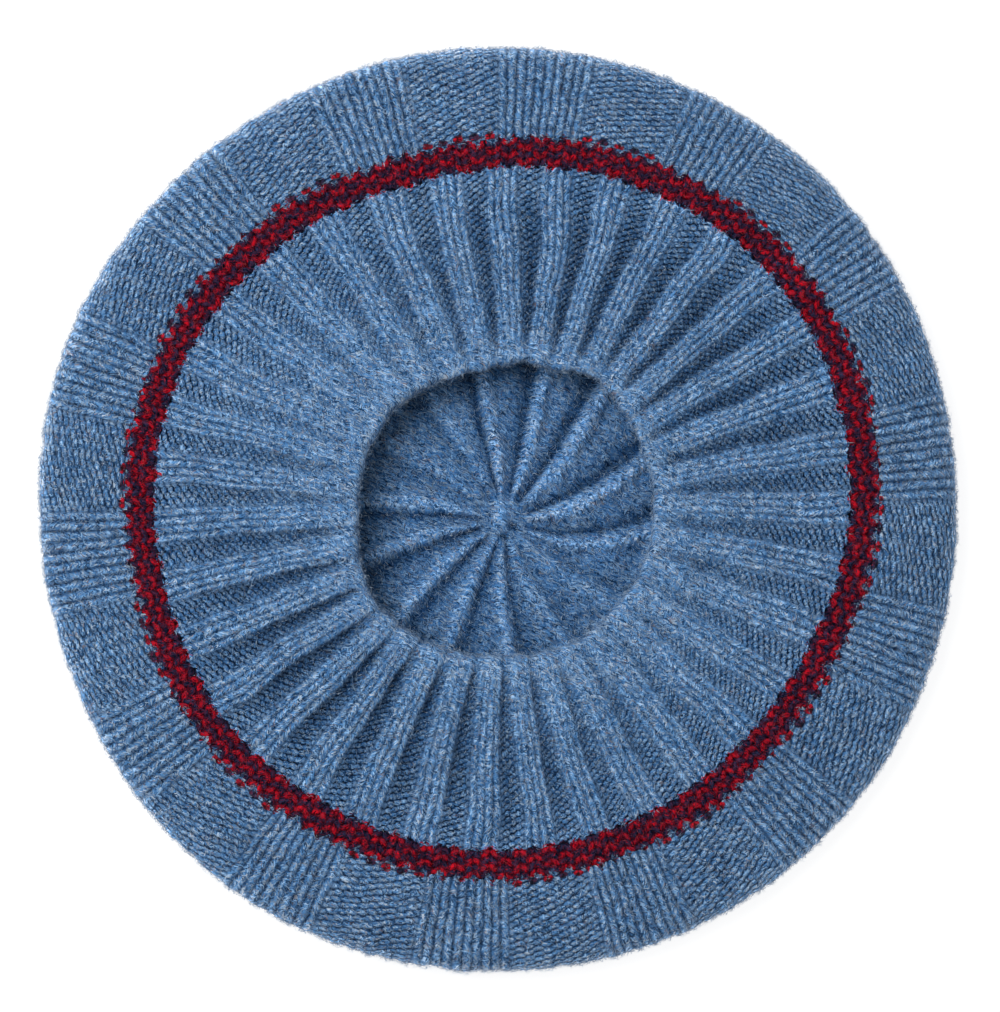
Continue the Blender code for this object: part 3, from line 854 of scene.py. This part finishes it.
# Painted light and shade: the lines and their twists painted lighter whichever way they face, the knot
# lighter, the creases and the knot's two hollows painted darker
light = GROUND_LIGHT + ridges * (LINE_LIGHT + TWIST_LIGHT * twist) + KNOT_LIGHT * knot
light = np.clip(light + CREASE_DARK * np.clip(lines, -1, 0) - HOLE_DARK * holes, 0, MOST_LIGHT)
crown_skin = inside[:INSIDE_STEPS]

outside_radius = np.linspace(CROWN_RADIUS, POLE_RADIUS, OUTSIDE_STEPS)[:, None]
outside, outside_v = crown_grid(outside_radius)
segment = TURN / SPOKE_COUNT * outside_radius
along_segment = np.mod(crown_place, 1.0)
panel = (along_segment < KNIT_SEGMENT) + 0 * outside_v
across_rib = np.abs(np.mod(2 * along_segment * np.maximum(segment / OUTSIDE_RIB, 1.0), 1.0) - 0.5) * 2
purl_row = 0.5 + 0.5 * np.cos(TURN * outside_v)
from_line = np.minimum(along_segment, 1 - along_segment) * segment
lift = PURL_RISE * purl_row * (1 - panel) + RIB_RISE * across_rib * panel
outside[..., 2] = lift + LINE_RISE * np.exp(-((from_line / LINE_WIDTH) ** 2))
outside[0, :, 2] = 0.0
points = np.concatenate([inside, outside])
u = np.broadcast_to(crown_place * PAIR_STITCHES, points.shape[:2])
# The relief value carries the painted light: the inside's, and one even painted level on the outside
values = {
    "knit": np.concatenate([0 * inside_v, panel]),
    "felt": np.concatenate([1 + 0 * inside_v, OUTSIDE_FELT + 0 * outside_v]),
    "relief": np.concatenate([light, OUTSIDE_LIGHT + 0 * outside_v]),
}
maps = (u, np.concatenate([inside_v, outside_v]), values)
crown = add_piece("knitted_crown", points, *maps, False, "blue_wool", ["crown"])

# %% [markdown]
# ## Shader arithmetic
#
# Every finish here is a formula of the stitch map. A small class lets the formulas be written as
# Python arithmetic: each operator on a signal adds the Math node that does it. Part is what is left
# above the whole number, and whole is the whole number at or below.

# %% Signals


def math_node(operation, reflected=False):
    """A method that adds the Math node of an operation, with its signal second where reflected."""

    def method(signal, *others):
        numbers = (*others, signal) if reflected else (signal, *others)
        return signal.desk.add("ShaderNodeMath", {"operation": operation}, dict(enumerate(numbers)))

    return method


class Signal:
    """One output socket of a material. Arithmetic on it adds Math nodes."""

    __add__, __radd__ = math_node("ADD"), math_node("ADD", reflected=True)
    __sub__, __rsub__ = math_node("SUBTRACT"), math_node("SUBTRACT", reflected=True)
    __mul__, __rmul__ = math_node("MULTIPLY"), math_node("MULTIPLY", reflected=True)
    __pow__ = math_node("POWER")
    __abs__ = math_node("ABSOLUTE")
    __lt__ = math_node("LESS_THAN")
    __gt__ = math_node("GREATER_THAN")
    part = math_node("FRACT")
    whole = math_node("FLOOR")
    larger = math_node("MAXIMUM")
    smaller = math_node("MINIMUM")
    cosine = math_node("COSINE")

    def __init__(self, desk, socket):
        self.desk = desk
        self.socket = socket

    def wave(self):
        """Half plus half the cosine of a whole turn: 1 at whole numbers and 0 halfway."""
        return (self * TURN).cosine() * 0.5 + 0.5

    def ramp(self, low, high):
        """0 below low, 1 above high, and smooth between them."""
        settings = {"interpolation_type": "SMOOTHSTEP"}
        return self.desk.add("ShaderNodeMapRange", settings, {0: self, 1: low, 2: high, 3: 0.0, 4: 1.0})


RED_POWER = 1.2
BLUE_POWER = 0.85


class Desk:
    """A material on which nodes are laid out and joined."""

    def __init__(self, name):
        self.material = bpy.data.materials.new(name)
        self.material.use_nodes = True
        self.tree = self.material.node_tree
        self.shader = self.tree.nodes["Principled BSDF"]

    def add(self, kind, settings, inputs, output=0):
        """Adds a node of any kind: its settings first, then the values or links of its sockets."""
        node = self.tree.nodes.new(kind)
        for key, value in settings.items():
            setattr(node, key, value)
        for key, value in inputs.items():
            self.feed(node.inputs[key], value)
        return Signal(self, node.outputs[output])

    def feed(self, socket, value):
        """Links a signal to a socket, or sets its value."""
        if isinstance(value, Signal):
            self.tree.links.new(value.socket, socket)
        else:
            socket.default_value = value

    def blend(self, share, first, second):
        """Mixes two colours, which are sockets 6 and 7 of the node."""
        settings = {"data_type": "RGBA"}
        return self.add("ShaderNodeMix", settings, {0: share, 6: first, 7: second}, 2)

    def finish(self, sockets):
        """Feeds the shader's sockets by name, and gives the material."""
        for name, value in sockets.items():
            self.feed(self.shader.inputs[name], value)
        return self.material

    def deepened(self, colour, shade, brightness):
        """A colour times a shade from 0 to 1. Shaded light has passed more dye, so red falls faster
        than the shade and blue slower, each by its own power of it."""
        shades = (shade**RED_POWER * brightness, shade * brightness, shade**BLUE_POWER * brightness)
        settings = {"operation": "MULTIPLY"}
        return self.add("ShaderNodeVectorMath", settings, {0: colour, 1: self.vector(*shades)})

    def vector(self, x, y, z):
        """Three signals as one vector."""
        return self.add("ShaderNodeCombineXYZ", {}, {0: x, 1: y, 2: z})

    def noise(self, place, scale, detail):
        """Noise from 0 to 1 at a place."""
        return self.add("ShaderNodeTexNoise", {}, {"Vector": place, "Scale": scale, "Detail": detail})

    def value_on_points(self, name):
        """A value that rides on the piece's points."""
        return self.add("ShaderNodeAttribute", {"attribute_name": name}, {}, 2)


print("signals ready")

# %% [markdown]
# ## The blue wool
#
# Heathered wool is spun from fibres of several colours. From a little way off it is a mid-blue, but
# close up there are bright blue, near-black, grey and almost white fibres side by side, each lying
# along the yarn. Here the surface is cut into narrow lanes along the yarn: along the leg of each V and
# along each purl bar. Each lane is cut into lengths, and each length is a fibre with its own random
# colour. Where the wool is felted, loose fibres lie over them in three other directions.

# %% Fibre pattern
STITCH_WIDE = 5.2
ROW_HIGH = 2.0
LEG_ALONG = 0.57
LEG_ACROSS = 0.82
YARN_FIBRE = (0.30, 0.9)
STRAY_FIBRE = (0.24, 1.4)
FIBRE_STAGGER = 0.618
FIBRE_BEND = 1.0
YARN_BEND = 0.4
BEND_SCALE = 0.5
STRAY_BEARINGS = (0.5, 1.6, 2.7)
STRAY_LOOSE = 0.12
STRAY_FELTED = 0.45
DOWN_SHARE = 0.7


class WoolDesk(Desk):
    """A desk with the signals that every wool shares, in millimetres where they are lengths."""

    def __init__(self, name):
        super().__init__(name)
        self.u, self.v = self.parts(self.add("ShaderNodeUVMap", {"uv_map": UV_NAME}, {}))[:2]
        # The relief value is painted light: painted crevice shade, the fold's painted highlight, the
        # crown's painted light and shade
        self.knit, self.felt, self.relief = map(self.value_on_points, ("knit", "felt", "relief"))
        place = self.add("ShaderNodeTexCoord", {}, {}, 3)
        self.metric = self.add("ShaderNodeVectorMath", {"operation": "SCALE"}, {0: place, 3: 1 / MM})
        self.mm_x, self.mm_y, self.mm_z = self.parts(self.metric)
        self.x = self.u.part()
        self.q = abs(self.x - 0.5) * 2

    def parts(self, vector):
        """The three numbers of a vector."""
        node = self.tree.nodes.new("ShaderNodeSeparateXYZ")
        self.feed(node.inputs[0], vector)
        return [Signal(self, socket) for socket in node.outputs]

    def dome(self, beside, above, half_long, half_high):
        """A dome as the mesh has it."""
        beside, above = beside * (1 / half_long), above * (1 / half_high)
        return (1 - beside * beside - above * above).larger(0.0) ** 0.5

    def stitch_signal(self, inside_stripe):
        """The same height formulas as the mesh has, from 0 to 1."""
        rope = 1 - abs(self.q * 2 - 1) ** ROPE_POWER
        stroke = (self.v - self.q * LEG_SLANT).wave()
        knit = rope * (1 - STROKE_SHARE * (1 - stroke))

        def bars(shift, arch):
            beside = (self.u + (0.5 - shift)).part() - 0.5
            above = (self.v + (0.5 - shift)).part() - 0.5 + beside * (beside * arch + BAR_LEAN)
            return self.dome(beside, above, BAR_LONG, BAR_HIGH)

        purl = bars(0.0, BAR_ARCH).larger(bars(0.5, -BAR_ARCH))
        blue = purl + self.knit * (knit - purl)
        beside = self.q - 0.5
        above = (self.v - beside * BEAN_SLANT).part() - 0.5
        return blue + inside_stripe * (self.dome(beside, above, BEAN_LONG, BEAN_HIGH) - blue)

    def fibres(self, along, across, size, seed):
        """Three random numbers for each fibre: a length of a lane one fibre wide. The lengths begin at
        another place than the neighbouring lanes' do."""
        lane = (across * (1 / size[0])).whole()
        length = (along * (1 / size[1]) + lane * FIBRE_STAGGER).whole()
        settings = {"noise_dimensions": "3D"}
        cell = {"Vector": self.vector(lane, length, seed)}
        return self.parts(self.add("ShaderNodeTexWhiteNoise", settings, cell, 1))

    def threads(self):
        """Fibres along the yarn, under loose ones that lie three other ways and cover more where it is
        felted. Slow noise bends them all. Gives two random numbers, for tone and hue, and 1 where a
        loose fibre lies on top."""
        bend = (self.noise(self.metric, BEND_SCALE, 0.0) - 0.5) * FIBRE_BEND
        half = self.q * (STITCH_WIDE / 2)
        high = self.v * ROW_HIGH
        knit_along = half * LEG_ALONG + high * LEG_ACROSS
        knit_across = high * LEG_ALONG - half * LEG_ACROSS
        purl_along = self.u * STITCH_WIDE
        along = purl_along + self.knit * (knit_along - purl_along)
        across = high + self.knit * (knit_across - high) + bend * YARN_BEND
        tone, hue = self.fibres(along, across, YARN_FIBRE, (self.u * 2).whole())[:2]
        over = self.felt * 0.0
        for turn in STRAY_BEARINGS:
            cosine, sine = float(np.cos(turn)), float(np.sin(turn))
            along = self.mm_x * cosine + self.mm_y * sine
            across = self.mm_y * cosine - self.mm_x * sine + self.mm_z * DOWN_SHARE + bend
            stray_tone, stray_hue, chance = self.fibres(along, across, STRAY_FIBRE, turn)
            covers = chance < self.felt * STRAY_FELTED + STRAY_LOOSE
            tone = tone + covers * (stray_tone - tone)
            hue = hue + covers * (stray_hue - hue)
            over = over.larger(covers)
        return tone, hue, over


print("a fibre of the yarn, mm:", YARN_FIBRE)

# %% The wool's colours
DARK_FIBRE = (0.012, 0.040, 0.095, 1.0)
BLUE_FIBRE = (0.042, 0.130, 0.300, 1.0)
MID_FIBRE = (0.080, 0.215, 0.440, 1.0)
GREY_FIBRE = (0.160, 0.225, 0.315, 1.0)
LIGHT_FIBRE = (0.260, 0.440, 0.680, 1.0)
PALE_FIBRE = (0.360, 0.440, 0.540, 1.0)
BROWN_FIBRE = (0.165, 0.135, 0.155, 1.0)
RED_DARK = (0.050, 0.001, 0.006, 1.0)
RED_BRIGHT = (0.520, 0.007, 0.018, 1.0)
NAVY_DARK = (0.005, 0.006, 0.018, 1.0)
NAVY_LIGHT = (0.030, 0.032, 0.080, 1.0)
MAUVE_FIBRE = (0.120, 0.018, 0.040, 1.0)
# Where one fibre colour passes into the next: by the first random number, and greyer by the second
DARK_TO_BLUE = (0.05, 0.30)
BLUE_TO_MID = (0.22, 0.60)
MID_TO_LIGHT = (0.66, 1.0)
BLUE_TO_GREY = (0.30, 0.80)
BROWN_ABOVE = 0.97
BROWN_SHARE = 0.7
RED_RANGE = (0.05, 0.85)
NAVY_RANGE = (0.30, 1.0)
MAUVE_SHARE = 0.40
# Painted shade between stitches: how dark it is painted between purl and between stripe stitches, the
# stitch heights over which it fades, and how much a loose fibre over a gap fills it
PURL_GAP = 0.96
STRIPE_GAP = 0.92
GAP_RANGE = (0.1, 0.92)
STRAY_FILLS = 0.35
FRAY = 0.25
FRAY_OVER = 0.8
SPIKE_SLANT = 1.3
TIP_DEPTH = 0.45
TIP_ROUND = 0.6
BUMP_HALF = 0.32
BUMP_HIGH = 0.45
BUMP_EDGE = 0.1
LAST_BIT = 0.01
PATCH_SCALE = 0.09
PATCH_DEPTH = 0.5
DASH_DEPTH = 0.8
# Painted shade: the share of the colour left where the painted light on the points is 0
CREVICE_LIGHT = 0.16
RAISED_STITCH = {"Strength": 0.6, "Distance": 0.6 * MM}
ROUGHNESS, ROUGHNESS_SPREAD = 0.82, 0.15
WOOL_LOOK = {"Specular IOR Level": 0.02, "Sheen Roughness": 0.6, "Sheen Tint": (0.75, 0.85, 1.0, 1.0)}


def blue_colour(desk, tone, hue):
    """A fibre's colour: dark, blue, mid or light by tone, bluer or greyer by hue, and brown where hue
    is nearly 1."""
    greyness = hue.ramp(*BLUE_TO_GREY)
    middle = desk.blend(greyness, MID_FIBRE, GREY_FIBRE)
    light = desk.blend(greyness, LIGHT_FIBRE, PALE_FIBRE)
    colour = desk.blend(tone.ramp(*DARK_TO_BLUE), DARK_FIBRE, BLUE_FIBRE)
    colour = desk.blend(tone.ramp(*BLUE_TO_MID), colour, middle)
    colour = desk.blend(tone.ramp(*MID_TO_LIGHT), colour, light)
    return desk.blend((hue > BROWN_ABOVE) * BROWN_SHARE, colour, BROWN_FIBRE)


def stripe_colour(desk, tone, hue, over):
    """Red and navy stitches by turns, and 1 where the point belongs to the stripe. A stitch is red
    where its number and its row, counted along its slanted legs, leave a half when their sum is
    halved. Whole fibres stray over every border. The first row begins in round tips. Past the last,
    pointed legs reach between knit stitches, and one bump to a purl stitch shows."""
    first, last = BAND_ROWS, BAND_ROWS + STRIPE_ROWS
    fray = (hue - 0.5) * (over * FRAY_OVER + FRAY)
    leg = desk.q - 0.5
    highest = last - LAST_BIT + (1 - desk.knit)
    row = (desk.v - leg * BEAN_SLANT + fray).larger(first).smaller(highest).whole()
    turn = ((desk.u + (tone - 0.5) * FRAY).whole() + row) * 0.5
    odd = turn.part() > 0.25
    bump = desk.dome(desk.x - 0.5, desk.v - (last + 0.5) + fray * 0.5, BUMP_HALF, BUMP_HIGH)
    purl_inside = (desk.v + fray < last).larger(bump > BUMP_EDGE)
    knit_inside = desk.v - leg * SPIKE_SLANT + fray < last
    inside = purl_inside + (desk.knit > 0.5) * (knit_inside - purl_inside)
    inside = inside * (desk.v + TIP_DEPTH - desk.q * desk.q * TIP_ROUND + fray > first)
    red = desk.blend(tone.ramp(*RED_RANGE), RED_DARK, RED_BRIGHT)
    navy = desk.blend(tone.ramp(*NAVY_RANGE), NAVY_DARK, NAVY_LIGHT)
    return desk.blend(over * MAUVE_SHARE, desk.blend(odd, navy, red), MAUVE_FIBRE), inside


def make_wool(name, brightness, sheen, knit_gap):
    """The wool of one piece, with the stripe's colours where its rows reach: painted shade between
    stitches and in crevices, the rest of the painted light that rides on the points, and a little
    uneven in broad patches and by the stitch."""
    desk = WoolDesk(name)
    tone, hue, over = desk.threads()
    patches = desk.noise(desk.metric, PATCH_SCALE, 1.0)
    dashes = desk.noise(desk.vector(desk.u * 2, desk.v, desk.knit), 1.0, 0.0)
    colour = blue_colour(desk, tone, hue)
    stripe_paint, inside_stripe = stripe_colour(desk, tone, hue, over)
    colour = desk.blend(inside_stripe, colour, stripe_paint)
    stitch = desk.stitch_signal(inside_stripe)
    open_yarn = 1 - desk.felt
    # Painted shade: the colour is darkened between stitches and by the painted light on the points
    depth = (PURL_GAP + desk.knit * (knit_gap - PURL_GAP)).larger(inside_stripe * STRIPE_GAP)
    gap_shade = (1 - stitch.ramp(*GAP_RANGE)) * open_yarn * (1 - over * STRAY_FILLS) * depth
    shade = (1 - gap_shade) * (desk.relief * (1 - CREVICE_LIGHT) + CREVICE_LIGHT)
    shade = shade * (patches * PATCH_DEPTH + (1 - PATCH_DEPTH / 2))
    shade = shade * (dashes * DASH_DEPTH + (1 - DASH_DEPTH / 2))
    colour = desk.deepened(colour, shade, brightness)
    bump = desk.add("ShaderNodeBump", {}, {**RAISED_STITCH, "Height": stitch * open_yarn})
    roughness = tone * ROUGHNESS_SPREAD + ROUGHNESS
    look = {"Base Color": colour, "Normal": bump, "Roughness": roughness, "Sheen Weight": sheen}
    return desk.finish({**look, **WOOL_LOOK})


# Columns: piece, brightness, sheen, how dark the painted shade in the gaps between its knit
# stitches is. Brightness makes lit and shaded copies of the one wool: the crown's is highest,
# painted light against the shade inside the opening.
for piece, brightness, sheen, knit_gap in (
    (band, 1.17, 0.04, 0.66),
    (stripe, 0.92, 0.0, 0.76),
    (side, 1.02, 0.11, 0.87),
    (crown, 1.50, 0.0, 0.76),
):
    piece.data.materials.append(make_wool(piece.name + "_wool", brightness, sheen, knit_gap))
print("wools:", [material.name for material in bpy.data.materials if material.name.startswith("knitted")])

# %% [markdown]
# ## The fuzz
#
# Brushed lambswool never has a hard edge: loose fibres stand off the surface by a millimetre or two,
# soften the outline and lie across the gaps between stitches. Each fibre here is a thin spindle with
# three corners round its middle and a bend in it, so it has only six faces. They are drawn at random
# over each piece, up to four times as close at the rim and fifteen times as close at the fold, where
# the fabric curves away from the eye.

# %% Loose fibres
FUZZ_LENGTH = (0.9 * MM, 2.9 * MM)
FUZZ_THICK = (0.09 * MM, 0.14 * MM)
FUZZ_RISE = (np.radians(8), np.radians(65))
FUZZ_BEND = np.radians(55)
FUZZ_DIP = (np.radians(-45), np.radians(25))
FUZZ_ROOT = 0.15 * MM
FUZZ_CORNERS = 3
LOWEST_FUZZ = 0.05 * MM
OFF_AXIS = 0.3


def leaning(first, second, up, heading, rise):
    """Direction at a heading from first towards second, raised by an angle: cos(rise) times
    (cos(heading) first + sin(heading) second), plus sin(rise) up."""
    return np.cos(rise) * (np.cos(heading) * first + np.sin(heading) * second) + np.sin(rise) * up


def add_fuzz(name, skin, favour, marks, count, seed):
    """Scatters bent spindles, each a root, three corners round the middle and a tip, over a skin of
    closed rings. Cells are drawn in proportion to area times favour. Each fibre takes its marks
    from its root."""
    draw = np.random.default_rng(seed)
    right = np.roll(skin, -1, axis=1) - skin
    along = skin[1:] - skin[:-1]
    normal = np.cross(along, right[:-1])
    weight = (np.linalg.norm(normal, axis=-1) * favour).ravel()
    cell = np.searchsorted(np.cumsum(weight) / weight.sum(), draw.random(count))
    row, column = np.divmod(np.minimum(cell, weight.size - 1), skin.shape[1])
    share_along, share_right = draw.random((2, count, 1))
    up = unit(normal[row, column])
    first = unit(right[row, column])
    second = np.cross(up, first)
    root = skin[row, column] + share_along * along[row, column] + share_right * right[row, column]
    root = root - FUZZ_ROOT * up
    heading = draw.uniform(0, TURN, (count, 1))
    turned = heading + draw.uniform(-FUZZ_BEND, FUZZ_BEND, (count, 1))
    rise = draw.uniform(*FUZZ_RISE, (count, 1))
    dip = draw.uniform(*FUZZ_DIP, (count, 1))
    half = draw.uniform(*FUZZ_LENGTH, (count, 1)) / 2
    middle = root + half * leaning(first, second, up, heading, rise)
    tip = middle + half * leaning(first, second, up, turned, dip)
    axis = unit(tip - root)
    beside = unit(np.cross(axis, up + OFF_AXIS * first))
    above = np.cross(axis, beside)
    thick = draw.uniform(*FUZZ_THICK, (count, 1)) / 2
    corners = [
        middle + thick * (np.cos(angle) * beside + np.sin(angle) * above)
        for angle in TURN * np.arange(FUZZ_CORNERS) / FUZZ_CORNERS
    ]
    points = np.stack([root, *corners, tip], axis=1)
    points[..., 2] = np.maximum(points[..., 2], LOWEST_FUZZ)
    start = np.arange(count)[:, None, None] * points.shape[1]
    sides = [(1 + number, 1 + (number + 1) % FUZZ_CORNERS) for number in range(FUZZ_CORNERS)]
    shape = [(after, here, 0) for here, after in sides] + [(*side, 1 + FUZZ_CORNERS) for side in sides]
    faces = (start + np.array(shape)).reshape(-1, 3)
    mesh = bpy.data.meshes.new(name)
    mesh.from_pydata(points.reshape(-1, 3), [], faces.tolist())
    values = {"tone": draw.random(count), **{key: value[row, column] for key, value in marks.items()}}
    carry(mesh, {key: np.repeat(value, points.shape[1]) for key, value in values.items()})
    mesh.update()
    piece = placed(name, mesh)
    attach(piece, "root")
    print(name, "has", len(faces), "triangles")
    return piece


def red_marks(u, v):
    """1 on the stripe's red stitches and 0 on its navy ones."""
    leg = np.abs(np.mod(u, 1.0) - 0.5) * 2 - 0.5
    return np.mod(np.floor(u) + np.floor(v - BEAN_SLANT * leg), 2.0)


print("a loose fibre, mm:", [round(length / MM, 2) for length in FUZZ_LENGTH])

# %% Fuzz on each piece
FUZZ_DARK = (0.080, 0.150, 0.260, 1.0)
FUZZ_BLUE = (0.200, 0.310, 0.470, 1.0)
FUZZ_PALE = (0.480, 0.570, 0.660, 1.0)
RED_FUZZ = (0.260, 0.008, 0.020, 1.0)
RED_PALE = (0.420, 0.070, 0.080, 1.0)
NAVY_FUZZ = (0.045, 0.030, 0.075, 1.0)
DARK_TO_FUZZ = (0.0, 0.45)
FUZZ_TO_PALE = (0.5, 1.0)
FUZZ_ROUGHNESS, FUZZ_ROUGHNESS_SPREAD, FUZZ_SPECULAR = 0.75, 0.2, 0.1


def make_fuzz(name, dyed):
    """Loose wool: from mid blue to nearly white by each fibre's own tone, or red and navy."""
    desk = Desk(name)
    tone = desk.value_on_points("tone")
    colour = desk.blend(tone.ramp(*DARK_TO_FUZZ), FUZZ_DARK, FUZZ_BLUE)
    colour = desk.blend(tone.ramp(*FUZZ_TO_PALE), colour, FUZZ_PALE)
    if dyed:
        red = desk.blend(tone, RED_FUZZ, RED_PALE)
        colour = desk.blend(desk.value_on_points("red"), NAVY_FUZZ, red)
    roughness = tone * FUZZ_ROUGHNESS_SPREAD + FUZZ_ROUGHNESS
    return desk.finish({"Base Color": colour, "Roughness": roughness, "Specular IOR Level": FUZZ_SPECULAR})


# Columns: name, skin, favour of each cell, marks, number of fibres, slot, seed
for name, skin, favour, marks, count, slot, seed in (
    ("band_fuzz", band_skin, band_favour[:-1], {}, 20000, "blue_wool", 61),
    ("stripe_fuzz", stripe_skin, 1.0, {"red": red_marks(*stripe_map)}, 6000, "stripe_wool", 62),
    ("side_fuzz", side_skin, side_favour[:-1], {}, 30000, "blue_wool", 63),
    ("crown_fuzz", crown_skin, 1.0, {}, 7000, "blue_wool", 64),
):
    fuzz = add_fuzz(name, skin, favour, marks, count, seed)
    fuzz.data.materials.append(make_fuzz(name + "_wool", bool(marks)))

# %% [markdown]
# ## Floor and light
#
# A pale table and a white room: one large soft lamp from the upper left, and an even white world. The
# table glows by itself, so that the ground of the picture is white and shadows on it stay faint.

# %% Floor, lamp and world
WHITE = (1.0, 1.0, 1.0, 1.0)
FLOOR_HALF = 3.0
FLOOR_DROP = 0.05 * MM
GREY = (0.20, 0.20, 0.20, 1.0)
FLOOR_LOOK = {"Base Color": GREY, "Roughness": 0.8, "Emission Color": WHITE, "Emission Strength": 0.88}
LAMP_PLACE = (-0.8, 0.55, 1.62)
LAMP_SIDE = 1.1
LAMP_WATTS = 30.0
WORLD_LIGHT = 0.40
floor_mesh = bpy.data.meshes.new("table_top")
corners = np.array([(-1, -1, 0), (1, -1, 0), (1, 1, 0), (-1, 1, 0)]) * FLOOR_HALF
corners[:, 2] = -FLOOR_DROP
floor_mesh.from_pydata(corners, [], [(0, 1, 2, 3)])
floor = placed("table_top", floor_mesh)
floor_mesh.materials.append(Desk("pale_table").finish(FLOOR_LOOK))

lamp_data = bpy.data.lights.new("soft_lamp", "AREA")
lamp_data.shape = "SQUARE"
lamp_data.size = LAMP_SIDE
lamp_data.energy = LAMP_WATTS
lamp = placed("soft_lamp", lamp_data)
lamp.location = LAMP_PLACE
lamp.rotation_mode = "QUATERNION"
lamp.rotation_quaternion = (-lamp.location).to_track_quat("-Z", "Y")

world = bpy.data.worlds.new("white_room")
world.use_nodes = True
background = world.node_tree.nodes["Background"]
background.inputs["Color"].default_value = WHITE
background.inputs["Strength"].default_value = WORLD_LIGHT
bpy.context.scene.world = world
bpy.context.scene.view_settings.view_transform = "Standard"
print("lamp at", [round(value, 2) for value in lamp.location])
